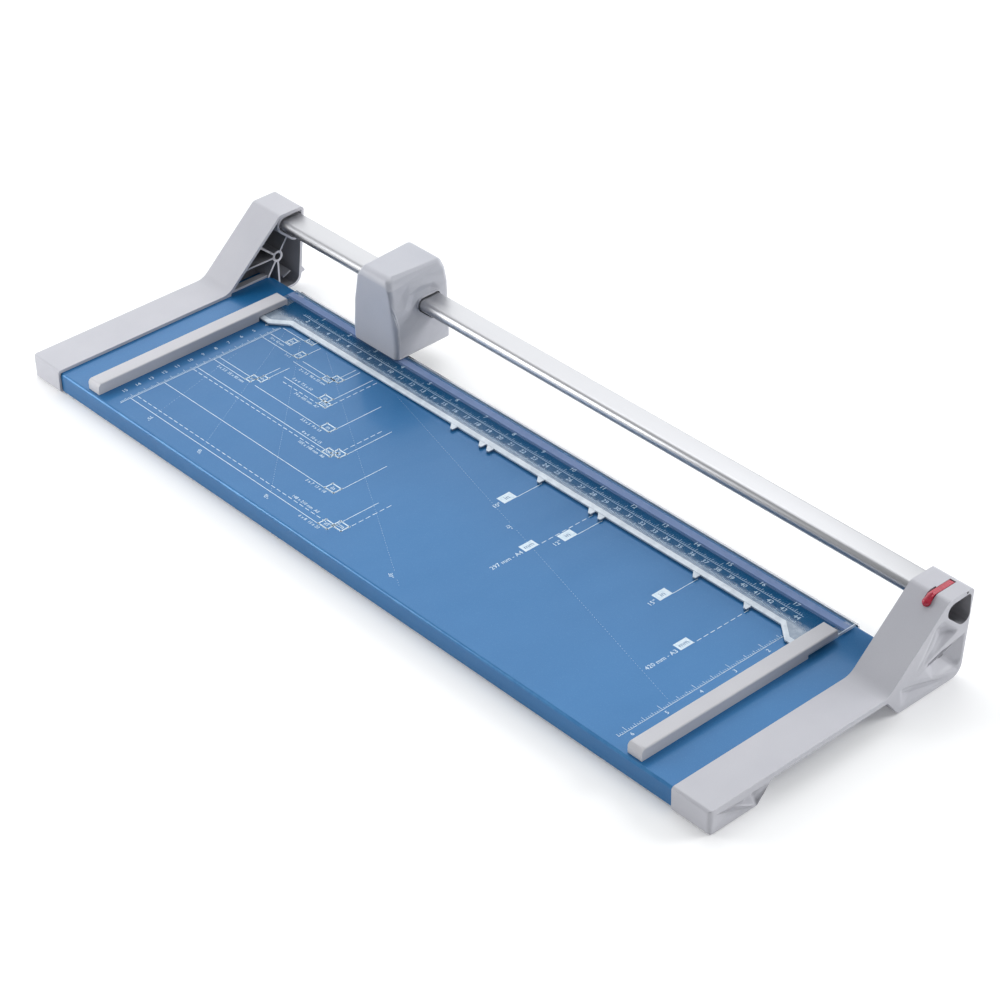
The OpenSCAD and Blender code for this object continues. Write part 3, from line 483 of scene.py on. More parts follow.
@dataclass(frozen=True)
class SoftRubber:
    """Dusty soft rubber."""

    name: str
    pale: Colour = (0.05, 0.05, 0.052)
    deep: Colour = (0.022, 0.022, 0.024)

    def material(self) -> bpy.types.Material:
        """Builds the finish.

        Returns:
            The material.
        """
        g = Graph(self.name)
        dust = g.remap(g.noise(420.0, 5.0, 0.7), 0.4, 0.7, 0.0, 1.0)
        g.colour(g.blend(dust, self.deep, self.pale))
        g.roughness(g.remap(g.noise(200.0, 4.0), 0.3, 0.7, 0.72, 0.9))
        g.bump([(g.noise(1300.0, 3.0, 0.6), 0.00005)], 0.7)
        g.set(Specular_IOR_Level=0.3)
        return g.material


@dataclass(frozen=True)
class ScreenInk:
    """Screen-printed ink, thin and slightly rubbed."""

    name: str
    full: Colour
    thin: Colour

    def material(self) -> bpy.types.Material:
        """Builds the finish.

        Returns:
            The material.
        """
        g = Graph(self.name)
        rubbed = g.remap(g.noise(620.0, 5.0, 0.75), 0.35, 0.7, 0.0, 1.0)
        g.colour(g.blend(rubbed, self.full, self.thin))
        g.roughness(g.remap(g.noise(300.0, 4.0), 0.3, 0.7, 0.42, 0.6))
        g.bump([(g.noise(1800.0, 2.0), 0.000004)], 0.4)
        return g.material


@dataclass
class Finishes:
    """Every finish of the trimmer, each built once."""

    table: bpy.types.Material = field(init=False)
    cap: bpy.types.Material = field(init=False)
    head: bpy.types.Material = field(init=False)
    fence: bpy.types.Material = field(init=False)
    rail: bpy.types.Material = field(init=False)
    blade: bpy.types.Material = field(init=False)
    wheel: bpy.types.Material = field(init=False)
    screw: bpy.types.Material = field(init=False)
    spring: bpy.types.Material = field(init=False)
    carrier: bpy.types.Material = field(init=False)
    strip: bpy.types.Material = field(init=False)
    latch: bpy.types.Material = field(init=False)
    black: bpy.types.Material = field(init=False)
    bush: bpy.types.Material = field(init=False)
    skid: bpy.types.Material = field(init=False)
    rubber: bpy.types.Material = field(init=False)
    ink: bpy.types.Material = field(init=False)
    mark_ink: bpy.types.Material = field(init=False)
    strip_ink: bpy.types.Material = field(init=False)

    def __post_init__(self) -> None:
        """Builds the materials."""
        self.table = SatinPaint(
            "blue_flake_paint", (0.007, 0.135, 0.345), (0.004, 0.118, 0.31)).material()
        self.cap = MouldedPlastic(
            "cap_plastic", (0.535, 0.535, 0.575), (0.5, 0.502, 0.545), rough=0.48,
            wear=(0.66, 0.66, 0.69)).material()
        self.head = MouldedPlastic(
            "head_plastic", (0.52, 0.525, 0.57), (0.485, 0.495, 0.545), rough=0.44,
            wear=(0.62, 0.625, 0.66)).material()
        self.fence = MouldedPlastic(
            "fence_plastic", (0.55, 0.55, 0.58), (0.515, 0.515, 0.55), rough=0.45,
            wear=(0.66, 0.66, 0.69)).material()
        self.rail = DrawnMetal(
            "anodised_rail", (0.54, 0.54, 0.555), (0.48, 0.485, 0.5), (9.0, 1700.0, 1700.0),
            rough=0.36, streak=0.000006, tarnish=0.12).material()
        self.blade = DrawnMetal(
            "ground_strip_steel", (0.72, 0.73, 0.75), (0.5, 0.51, 0.54), (14.0, 2600.0, 2600.0),
            rough=0.24, streak=0.00001).material()
        self.wheel = DrawnMetal(
            "hardened_wheel_steel", (0.74, 0.75, 0.77), (0.52, 0.53, 0.56), (2400.0, 60.0, 2400.0),
            rough=0.2, streak=0.000008).material()
        self.screw = DrawnMetal(
            "zinc_plated_steel", (0.66, 0.67, 0.68), (0.42, 0.43, 0.45), (900.0, 900.0, 900.0),
            rough=0.32, streak=0.00001, tarnish=0.4).material()
        self.spring = DrawnMetal(
            "spring_wire_steel", (0.55, 0.56, 0.58), (0.36, 0.37, 0.4), (1200.0, 1200.0, 200.0),
            rough=0.3, streak=0.00001, tarnish=0.5).material()
        self.carrier = DrawnMetal(
            "machined_carrier", (0.62, 0.62, 0.64), (0.46, 0.47, 0.5), (1600.0, 300.0, 1600.0),
            rough=0.34, streak=0.000012, tarnish=0.3).material()
        self.strip = ClearAcrylic("clear_acrylic").material()
        self.latch = GlossPlastic(
            "latch_red_plastic", (0.5, 0.012, 0.045), (0.38, 0.006, 0.03)).material()
        self.black = MouldedPlastic(
            "dark_plastic", (0.05, 0.05, 0.055), (0.03, 0.03, 0.034), rough=0.5).material()
        self.bush = MouldedPlastic(
            "slide_plastic", (0.035, 0.035, 0.037), (0.02, 0.02, 0.022), rough=0.35).material()
        self.skid = MouldedPlastic(
            "skid_plastic", (0.33, 0.33, 0.35), (0.27, 0.27, 0.3), rough=0.4).material()
        self.rubber = SoftRubber("foot_rubber_compound").material()
        self.ink = ScreenInk("table_print", (0.74, 0.83, 0.9), (0.5, 0.66, 0.79)).material()
        self.mark_ink = ScreenInk("unit_mark_print", (0.02, 0.11, 0.26), (0.05, 0.18, 0.36)).material()
        self.strip_ink = ScreenInk("strip_print", (0.6, 0.72, 0.82), (0.42, 0.56, 0.7)).material()


# Workshop: shared ways to shape a piece. Meshes and the sizes of pieces are in millimetres.


def solid_copy(node: str, merge: float = 0.0015, least: float = 0.001,
               flat: float = 0.7) -> bmesh.types.BMesh:
    """Copies a CAD node's mesh with its triangles merged into whole faces.

    Args:
        node: The CAD node's name.
        merge: Points closer than this many millimetres become one.
        least: Edges shorter than this many millimetres are taken out.
        flat: Faces that fold by fewer degrees than this become one.

    Returns:
        The mesh in millimetres.
    """
    bm = bmesh.new()
    bm.from_mesh(frame["nodes"][node].data)
    bmesh.ops.scale(bm, vec=Vector((1000.0,) * 3), verts=bm.verts)
    bmesh.ops.remove_doubles(bm, verts=bm.verts, dist=merge)
    bmesh.ops.dissolve_degenerate(bm, dist=least, edges=bm.edges)
    bmesh.ops.dissolve_limit(bm, angle_limit=math.radians(flat), verts=bm.verts, edges=bm.edges)
    return bm


def top_of(node: str) -> float:
    """Height in millimetres of a CAD node's top."""
    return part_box(node)[1].z / MM


def fold_of(edge: bmesh.types.BMEdge) -> float:
    """Measures the angle between an edge's two faces.

    Args:
        edge: The edge.

    Returns:
        Degrees, positive on an outer corner and 0 on an open edge.
    """
    if len(edge.link_faces) != 2:
        return 0.0
    return math.degrees(edge.calc_face_angle_signed(0.0))


def is_corner(edge: bmesh.types.BMEdge, longer: float = 0.0, fold: float = CORNER) -> bool:
    """Whether an edge is an outer corner of more than fold degrees and longer than that."""
    return fold_of(edge) > fold and edge.calc_length() > longer


def soften(bm: bmesh.types.BMesh, width: float, wanted: Callable[[bmesh.types.BMEdge], bool],
           segments: int = 2) -> int:
    """Rounds the wanted edges and marks the new faces as worn.

    Args:
        bm: The mesh.
        width: Width of the rounding in millimetres.
        wanted: Says whether an edge is rounded.
        segments: Segments of each rounding.

    Returns:
        How many edges were rounded.
    """
    wear = bm.faces.layers.float.get("edge_wear") or bm.faces.layers.float.new("edge_wear")
    edges = [e for e in bm.edges if wanted(e)]
    if edges:
        made = bmesh.ops.bevel(bm, geom=edges, offset=width, offset_type="OFFSET", segments=segments,
                               profile=0.5, affect="EDGES", clamp_overlap=True, loop_slide=True,
                               material=-1)
        for face in made["faces"]:
            face[wear] = 1.0
    return len(edges)


def refine(bm: bmesh.types.BMesh, tag: bmesh.types.BMLayerItem, longest: float,
           rounds: int = 8) -> None:
    """Cuts the tagged faces into small triangles.

    Args:
        bm: The mesh.
        tag: Integer face layer that is 1 on the faces to cut.
        longest: Longest edge that is left, in millimetres.
        rounds: Most passes over the faces.
    """
    bmesh.ops.triangulate(bm, faces=[f for f in bm.faces if f[tag] == 1 and len(f.verts) > 3])
    for _ in range(rounds):
        long = [e for e in bm.edges
                if e.calc_length() > longest and any(f[tag] == 1 for f in e.link_faces)]
        if not long:
            break
        bmesh.ops.subdivide_edges(bm, edges=long, cuts=1, use_grid_fill=True, use_single_edge=True)
        bmesh.ops.triangulate(bm, faces=[f for f in bm.faces if f[tag] == 1 and len(f.verts) > 3])
    bm.normal_update()


def lathe(bm: bmesh.types.BMesh, profile: Sequence[Point], place: Matrix, steps: int = 32) -> None:
    """Spins a profile of radius and height round the local Z axis.

    Args:
        bm: The mesh that gets the turned shape.
        profile: Points (radius, height) from the axis at one end to the axis at the other.
        place: Where the shape goes.
        steps: Steps of the full turn.
    """
    part = bmesh.new()
    verts = [part.verts.new((r, 0.0, z)) for r, z in profile]
    edges = [part.edges.new(pair) for pair in zip(verts, verts[1:])]
    bmesh.ops.spin(part, geom=[*verts, *edges], cent=(0, 0, 0), axis=(0, 0, 1), angle=math.tau,
                   steps=steps, use_merge=True)
    # The end rings on the axis are one point each.
    bmesh.ops.remove_doubles(part, verts=part.verts, dist=0.0005)
    bmesh.ops.recalc_face_normals(part, faces=part.faces)
    bmesh.ops.transform(part, matrix=place, verts=part.verts)
    merge_in(bm, part)


def merge_in(bm: bmesh.types.BMesh, part: bmesh.types.BMesh) -> None:
    """Adds a mesh to another.

    Args:
        bm: The mesh that grows.
        part: The mesh that is added, freed afterwards.
    """
    mesh = bpy.data.meshes.new("part")
    part.to_mesh(mesh)
    part.free()
    bm.from_mesh(mesh)
    bpy.data.meshes.remove(mesh)


def add_piece(name: str, bm: bmesh.types.BMesh, finish: bpy.types.Material, body: Body,
              replaces: Sequence[str] = (), sharp: float = 36.0,
              even: bool = True) -> bpy.types.Object:
    """Turns a mesh in millimetres into a finished piece of the trimmer.

    Args:
        name: The piece's name.
        bm: Its mesh, freed afterwards.
        finish: Its material.
        body: The body that it rides on.
        replaces: CAD nodes that it stands for.
        sharp: Folds above this angle in degrees stay sharp.
        even: Whether flat faces keep their own normal beside rounded edges.

    Returns:
        The piece.
    """
    bmesh.ops.scale(bm, vec=Vector((MM,) * 3), verts=bm.verts)
    mesh = bpy.data.meshes.new(name)
    bm.to_mesh(mesh)
    open_edges = sum(1 for e in bm.edges if len(e.link_faces) != 2)
    bm.free()
    mesh.shade_smooth()
    mesh.set_sharp_from_angle(angle=math.radians(sharp))
    mesh.materials.append(finish)
    piece = bpy.data.objects.new(name, mesh)
    bpy.context.scene.collection.objects.link(piece)
    if even:
        modifier = piece.modifiers.new("even_shading", "WEIGHTED_NORMAL")
        modifier.keep_sharp = True
    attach(piece, body.value)
    if replaces:
        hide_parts(*replaces)
    log.info("%s: %d faces, %d open edges", name, len(mesh.polygons), open_edges)
    return piece


@dataclass(frozen=True)
class Relief:
    """Folded relief of a wall: lines of points (y, z, depth) with flat facets between them."""

    lines: tuple[tuple[Depth, ...], ...]
    blur: float = 0.5
    ring_steps: int = 8
    same_point: float = 1e-5

    def sampler(self) -> Callable[[float, float], float]:
        """Lays flat facets between the lines.

        Returns:
            A function that gives the softened depth at a point (y, z) of the wall.
        """
        points = [point for line in self.lines for point in line]
        starts = [sum(len(line) for line in self.lines[:k]) for k in range(len(self.lines))]
        folds = [(start + k, start + k + 1)
                 for start, line in zip(starts, self.lines) for k in range(len(line) - 1)]
        flat = [Vector((y, z)) for y, z, _ in points]
        verts, _, faces, origin, *_ = delaunay_2d_cdt(flat, folds, [], 0, self.same_point)
        heights = [points[source[0]][2] if source else 0.0 for source in origin]
        tree = BVHTree.FromPolygons([(*v, h) for v, h in zip(verts, heights)], faces)
        turns = [k * math.tau / self.ring_steps for k in range(self.ring_steps)]
        ring = [Vector((0.0, 0.0, 0.0))] + [
            Vector((math.cos(turn), math.sin(turn), 0.0)) * self.blur * share
            for share in (0.5, 1.0) for turn in turns]
        above = max(heights) + 1.0
        down = Vector((0.0, 0.0, -1.0))

        def soft(y: float, z: float) -> float:
            """Mean depth over a small disc round the point."""
            hits = [tree.ray_cast(Vector((y, z, above)) + step, down)[0] for step in ring]
            return sum(hit.z for hit in hits if hit) / len(ring)

        return soft


def shade_cavities(bm: bmesh.types.BMesh, reach: float = 22.0, rays: int = 32,
                   lift: float = 0.05) -> None:
    """Marks each face with the share of its sky that the piece itself hides within reach, which the
    moulded finishes darken as painted shade.

    Args:
        bm: The mesh.
        reach: How far a wall still counts, in millimetres.
        rays: Directions that are tried from each face.
        lift: How far above its face a ray starts, in millimetres.
    """
    layer = bm.faces.layers.float.new("sky_occlusion")
    tree = BVHTree.FromBMesh(bm)
    golden = math.pi * (3.0 - math.sqrt(5.0))
    ways = []
    for k in range(rays):
        rise = 1.0 - (k + 0.5) / rays
        flat = math.sqrt(1.0 - rise * rise)
        ways.append(Vector((math.cos(golden * k) * flat, math.sin(golden * k) * flat, rise)))
    for face in bm.faces:
        turn = Vector((0.0, 0.0, 1.0)).rotation_difference(face.normal)
        start = face.calc_center_median() + face.normal * lift
        face[layer] = sum(1 for way in ways if tree.ray_cast(start, turn @ way, reach)[0]) / rays


def near_line(y: float, z: float, line: Sequence[Point]) -> float:
    """Measures how far a point is from a line of straight stretches.

    Args:
        y: The point's first coordinate.
        z: The point's second coordinate.
        line: The line's points.

    Returns:
        The distance.
    """
    best = math.inf
    for (y0, z0), (y1, z1) in zip(line, line[1:]):
        dy, dz = y1 - y0, z1 - z0
        t = max(0.0, min(1.0, ((y - y0) * dy + (z - z0) * dz) / (dy * dy + dz * dz)))
        best = min(best, math.hypot(y - y0 - dy * t, z - z0 - dz * t))
    return best


# Sub-assemblies


@dataclass
class Table:
    """Folded steel table and its counter blade.

    Attributes:
        fold_wear: How worn the bends are, from 0 to 1.
        fold_length: Bends are longer than this.
        fold_area: Faces of a bend are smaller than this.
        level: Faces whose normal is more upright than this are no bends.
        sheet_edge, blade_edge: Widths of the broken edges.
    """

    finishes: Finishes
    fold_wear: float = 0.35
    fold_length: float = 300.0
    fold_area: float = 320.0
    level: float = 0.97
    sheet_edge: float = 0.12
    blade_edge: float = 0.1

    def build(self) -> None:
        """Builds the table sheet and the counter blade."""
        self._sheet()
        self._counter_blade()

    def _sheet(self) -> None:
        """Folded sheet whose outer bends are rubbed and whose cut edges are broken."""
        bm = solid_copy("base_plate")
        wear = bm.faces.layers.float.new("edge_wear")
        for face in bm.faces:
            long = max(e.calc_length() for e in face.edges) > self.fold_length
            narrow = face.calc_area() < self.fold_area
            if long and narrow and abs(face.normal.z) < self.level:
                face[wear] = self.fold_wear
        soften(bm, self.sheet_edge, lambda e: abs(fold_of(e)) > 70.0 and e.calc_length() > 0.5, 1)
        add_piece("table_sheet", bm, self.finishes.table, Body.BASE, ["base_plate"])

    def _counter_blade(self) -> None:
        """Ground strip with broken edges."""
        bm = solid_copy("counter_blade")
        soften(bm, self.blade_edge, lambda e: abs(fold_of(e)) > CORNER and e.calc_length() > 0.8, 1)
        add_piece("ground_counter_blade", bm, self.finishes.blade, Body.BASE,
                  ["counter_blade"])


@dataclass
class EndCap:
    """Moulded end cap with soft rims and a folded outer face.

    Attributes:
        side: -1 for the left cap and 1 for the right one.
        inner_x: Where the face towards the table is, from the middle of the trimmer.
        outer_x: Where the outer face is.
        band: How far inside outer_x a face still belongs to the outer face.
        outward: Least outward part of such a face's normal.
        arm_z: Height of the arm's top.
        table_z: Height above which the inner rim is clear of the table.
        tower_y: Where the tower starts.
        corner, rim, inner_rim: Widths of the roundings.
        grain: Longest edge of the refined outer face.
        front: Where the arm ends in front.
        relief: Folds of the outer face.
    """

    finishes: Finishes
    side: int
    name: str
    inner_x: float = 267.0
    outer_x: float = 294.2
    band: float = 3.6
    outward: float = 0.45
    arm_z: float = 16.0
    table_z: float = 15.0
    tower_y: float = 60.0
    corner: float = 2.6
    rim: float = 0.9
    inner_rim: float = 0.45
    grain: float = 1.5
    front: float = field(init=False)
    relief: Relief = Relief(
        lines=(
            ((28.0, 0.0, 0.0), (99.0, 0.0, 0.0), (99.0, 60.0, 0.0), (28.0, 60.0, 0.0),
             (28.0, 0.0, 0.0)),
            ((52.5, 21.6, 0.0), (66.3, 43.2, 0.0), (69.5, 45.2, 0.0), (72.6, 44.9, 0.0),
             (84.6, 33.9, 0.0), (82.5, 31.2, 0.0), (66.0, 25.4, 0.0), (52.5, 21.6, 0.0)),
            ((60.5, 27.2, 1.3), (69.8, 40.6, 2.6), (80.8, 33.6, 2.5)),
            ((46.0, 17.6, 0.0), (60.0, 21.4, 0.0), (72.5, 25.0, 0.0), (90.4, 27.9, 0.0),
             (90.2, 12.2, 0.0), (86.8, 7.8, 0.0), (66.5, 9.4, 0.0), (55.0, 12.8, 0.0),
             (46.0, 17.6, 0.0)),
            ((89.2, 26.0, 0.9), (73.4, 22.4, 4.8), (80.0, 16.4, 4.0), (86.2, 9.4, 1.6)),
            ((41.0, 16.6, 0.0), (46.0, 15.6, 0.0), (55.0, 12.8, 0.0), (66.5, 9.4, 0.0),
             (80.5, 5.0, 0.0), (80.0, 3.2, 0.0), (42.6, 4.4, 0.0), (41.0, 16.6, 0.0)),
            ((43.2, 14.2, 0.9), (55.0, 10.6, 2.0), (66.0, 7.4, 1.5), (76.0, 5.0, 0.4)),
            ((-102.0, 0.0, 0.0), (-102.0, 17.0, 0.0), (-48.0, 17.0, 0.0), (-48.0, 0.0, 0.0),
             (-102.0, 0.0, 0.0)),
            ((-70.0, 11.4, 0.0), (-57.5, 10.8, 0.0), (-64.0, 1.2, 0.0)),
            ((-69.0, 9.8, 2.8), (-66.0, 2.8, 2.2)),
            ((-84.0, 9.6, 0.3), (-75.0, 5.6, 0.8), (-67.8, 1.0, 0.3)),
            ((-97.0, 10.6, 0.2), (-88.0, 6.4, 1.3), (-79.0, 2.4, 1.0))))

    def build(self) -> None:
        """Builds the cap from its solid, softens its rims and folds its face."""
        bm = solid_copy(self.name)
        tag = bm.faces.layers.int.new("outer")
        for face in bm.faces:
            out = face.calc_center_median().x * self.side > self.outer_x - self.band
            face[tag] = 1 if out and face.normal.x * self.side > self.outward else 0
        self.front = min(v.co.y for v in bm.verts)
        corners = soften(bm, self.corner, self._on_front_corner, 5)
        outer = soften(bm, self.rim, self._on_outer_rim, 3)
        inner = soften(bm, self.inner_rim, self._on_inner_rim, 2)
        # Sky occlusion for the painted shade in the tower, the tunnel and the other hollows.
        shade_cavities(bm)
        log.info("%s: rounded %d front, %d outer, %d inner edges", self.name, corners, outer, inner)
        refine(bm, tag, self.grain)
        depth = self.relief.sampler()
        for vert in bm.verts:
            faces = vert.link_faces
            if faces and all(f[tag] == 1 for f in faces):
                vert.co.x -= self.side * depth(vert.co.y, vert.co.z)
        add_piece(f"moulded_{self.name}", bm, self.finishes.cap, Body.BASE, [self.name],
                  sharp=44.0)

    def _flat_at(self, edge: bmesh.types.BMEdge, x: float) -> bool:
        """Whether both ends of an edge lie in the plane at x."""
        return all(abs(v.co.x * self.side - x) < ON_PLANE for v in edge.verts)

    def _on_outer_rim(self, edge: bmesh.types.BMEdge) -> bool:
        """Picks the rims of the outer face and the tunnel, and the top rim of the front end.

        Args:
            edge: The edge.

        Returns:
            Whether it is rounded.
        """
        reach = self.front + self.corner + 0.1
        at_front = all(v.co.y < reach and v.co.z > self.arm_z - 0.1 for v in edge.verts)
        return fold_of(edge) > CORNER and (at_front or self._flat_at(edge, self.outer_x))

    def _on_front_corner(self, edge: bmesh.types.BMEdge) -> bool:
        """Picks the long upright corners of the front end.

        Args:
            edge: The edge.

        Returns:
            Whether it is rounded.
        """
        one, two = (v.co for v in edge.verts)
        upright = abs(one.z - two.z) > 5.0
        return upright and max(one.y, two.y) < self.front + ON_PLANE and fold_of(edge) > CORNER

    def _on_inner_rim(self, edge: bmesh.types.BMEdge) -> bool:
        """Picks the rim that faces the table, above the table or behind it.

        Args:
            edge: The edge.

        Returns:
            Whether it is rounded.
        """
        start = edge.verts[0].co
        clear = start.z > self.table_z or start.y > self.tower_y
        return clear and self._flat_at(edge, self.inner_x) and fold_of(edge) > CORNER


@dataclass
class Rail:
    """Drawn aluminium rail with end plugs.

    Attributes:
        edge: Width of the broken edges of its ends.
        nose, toe, back: Radii of the front nose, the lower back and the upper back.
        drop: How far the nose's top is below the flat top.
        wall: Thickness of the wall.
        inner_back: Radius of the upper back inside.
    """

    finishes: Finishes
    edge: float = 0.25
    nose: float = 4.2
    toe: float = 4.2
    back: float = 1.5
    drop: float = 0.4
    wall: float = 1.4
    inner_back: float = 0.2

    def build(self) -> None:
        """Builds the rail and its plugs."""
        self._rail()
        bm = solid_copy("rail_plugs")
        add_piece("rail_end_plugs", bm, self.finishes.black, Body.BASE, ["rail_plugs"])

    def _rail(self) -> None:
        """Hollow rail whose section is drawn from three round corners."""
        low, high = (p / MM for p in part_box("guide_rail"))
        bm = bmesh.new()
        loops = []
        for wall, back in ((0.0, self.back), (self.wall, self.inner_back)):
            discs = ((low.y + self.nose, high.z - self.drop - self.nose, self.nose - wall),
                     (high.y - self.toe, low.z + self.toe, self.toe - wall),
                     (high.y - wall - back, high.z - wall - back, back))
            loops += self._ring(bm, discs, low.x)
        faces = bmesh.ops.bridge_loops(bm, edges=loops)["faces"]
        out = bmesh.ops.extrude_face_region(bm, geom=faces)["geom"]
        bmesh.ops.translate(bm, vec=Vector((high.x - low.x, 0, 0)),
                            verts=[v for v in out if isinstance(v, bmesh.types.BMVert)])
        bmesh.ops.recalc_face_normals(bm, faces=bm.faces)
        soften(bm, self.edge, lambda e: fold_of(e) > 70.0 and e.calc_length() < 30.0, 2)
        add_piece("drawn_rail", bm, self.finishes.rail, Body.BASE, ["guide_rail"],
                  sharp=30.0, even=False)

    @staticmethod
    def _ring(bm: bmesh.types.BMesh, discs: Sequence[tuple[float, float, float]], x: float,
              steps: int = 18) -> list[bmesh.types.BMEdge]:
        """Closed loop that wraps three discs.

        Args:
            bm: The mesh that gets the loop.
            discs: Discs (y, z, radius), counter-clockwise.
            x: Place of the loop along the rail.
            steps: Steps of each arc.

        Returns:
            The loop's edges.
        """
        verts = []
        for i, (y, z, r) in enumerate(discs):
            turns = []
            after = discs[(i + 1) % len(discs)]
            for (ay, az, ar), (by, bz, br) in ((discs[i - 1], discs[i]), (discs[i], after)):
                span = math.hypot(by - ay, bz - az)
                turns.append(math.atan2(bz - az, by - ay) - math.acos((ar - br) / span))
            sweep = (turns[1] - turns[0]) % math.tau
            verts += [bm.verts.new((x, y + r * math.cos(turns[0] + sweep * k / steps),
                                    z + r * math.sin(turns[0] + sweep * k / steps)))
                      for k in range(steps + 1)]
        return [bm.edges.new(pair) for pair in zip(verts, verts[1:] + verts[:1])]


@dataclass
class Fences:
    """Two moulded fences with sloping, rounded front ends."""

    finishes: Finishes
    front_round: float = 2.5
    edge_round: float = 0.35

    def build(self) -> None:
        """Builds both fences from their solids with softened edges."""
        for name in ("left_fence", "right_fence"):
            bm = solid_copy(name)
            top = max(v.co.z for v in bm.verts)
            front = min(v.co.y for v in bm.verts)
            soften(bm, self.front_round, lambda e: is_corner(e)
                   and all(v.co.y < front + ON_PLANE for v in e.verts)
                   and abs(e.verts[0].co.z - e.verts[1].co.z) > 2.0, 4)
            soften(bm, self.edge_round, lambda e: is_corner(e, 1.5)
                   and min(v.co.z for v in e.verts) < top - 1.0, 2)
            add_piece(f"moulded_{name}", bm, self.finishes.fence, Body.BASE, [name],
                      sharp=40.0)


@dataclass
class ClampStrip:
    """Clear strip with a frosted bevel and its printed scales.

    Attributes:
        zero_x: Where both scales have their zero.
        label_shift: How far a number stands to the right of its tick.
        centimetres, inches: Last numbers of the scales.
        first_mm: First tick of the centimetre scale.
        first_part: First tick of the inch scale.
        parts: Ticks in an inch.
        cm_y, cm_numbers_y, inch_y, inch_numbers_y: Rows of the ticks and the numbers.
        tick: Width of a tick.
        letter: Height of a number.
        edge: Width of the broken edges.
        bevel_reach: How deep the bevel goes below the top.
        tooth_drop: How far at least the teeth are below the top.
    """

    finishes: Finishes
    zero_x: float = -228.4
    label_shift: float = 2.9
    centimetres: int = 44
    inches: int = 17
    first_mm: int = 15
    first_part: int = 10
    parts: int = 16
    inch: float = 25.4
    cm_y: float = 42.4
    cm_numbers_y: float = 47.0
    inch_y: float = 49.9
    inch_numbers_y: float = 55.4
    tick: float = 0.24
    letter: float = 3.0
    edge: float = 0.3
    bevel_reach: float = 1.05
    tooth_drop: float = 0.3

    def build(self) -> None:
        """Builds the strip and its print."""
        bm = solid_copy("clamp_strip")
        frost = bm.faces.layers.float.new("frost")
        top = max(v.co.z for v in bm.verts)
        for face in bm.faces:
            middle = face.calc_center_median()
            slope = 0.5 < face.normal.z < 0.98 and middle.z > top - self.bevel_reach
            tooth = face.normal.z > 0.98 and middle.z < top - self.tooth_drop
            cut = abs(face.normal.z) < 0.2 and face.calc_area() > 1.0
            face[frost] = 1.0 if slope or tooth else 0.8 if cut else 0.0
        soften(bm, self.edge, lambda e: is_corner(e, 1.2)
               and min(v.co.z for v in e.verts) > top - ON_PLANE, 2)
        add_piece("acrylic_strip", bm, self.finishes.strip, Body.CLAMP, ["clamp_strip"])
        self._print(top)

    def _print(self, top: float) -> None:
        """Prints a centimetre and an inch scale on the strip.

        Args:
            top: Height of the strip's top.
        """
        sheet = Print(top, 0.02)
        last_mm = self.centimetres * 10 + 5
        for n in range(self.first_mm, last_mm + 1):
            tall = 2.2 if n % 10 == 0 else 1.7 if n % 5 == 0 else 1.1
            x = self.zero_x + n
            sheet.bar(x, self.cm_y, x, self.cm_y + tall, self.tick)
        for n in range(self.first_part, self.inches * self.parts + self.parts // 2):
            tall = 3.4 if n % self.parts == 0 else 2.5 if n % 4 == 0 else 1.5
            x = self.zero_x + n * self.inch / self.parts
            sheet.bar(x, self.inch_y, x, self.inch_y + tall, self.tick)
        sheet.bar(self.zero_x + self.first_mm, self.inch_y, self.zero_x + last_mm, self.inch_y,
                  self.tick)
        for n in range(2, self.centimetres + 1):
            x = self.zero_x + 10 * n + self.label_shift
            sheet.label(str(n), x, self.cm_numbers_y, self.letter)
        for n in range(1, self.inches + 1):
            x = self.zero_x + self.inch * n + self.label_shift
            sheet.label(str(n), x, self.inch_numbers_y, self.letter)
        sheet.piece("strip_scales", self.finishes.strip_ink, Slot.STRIP, Body.CLAMP)


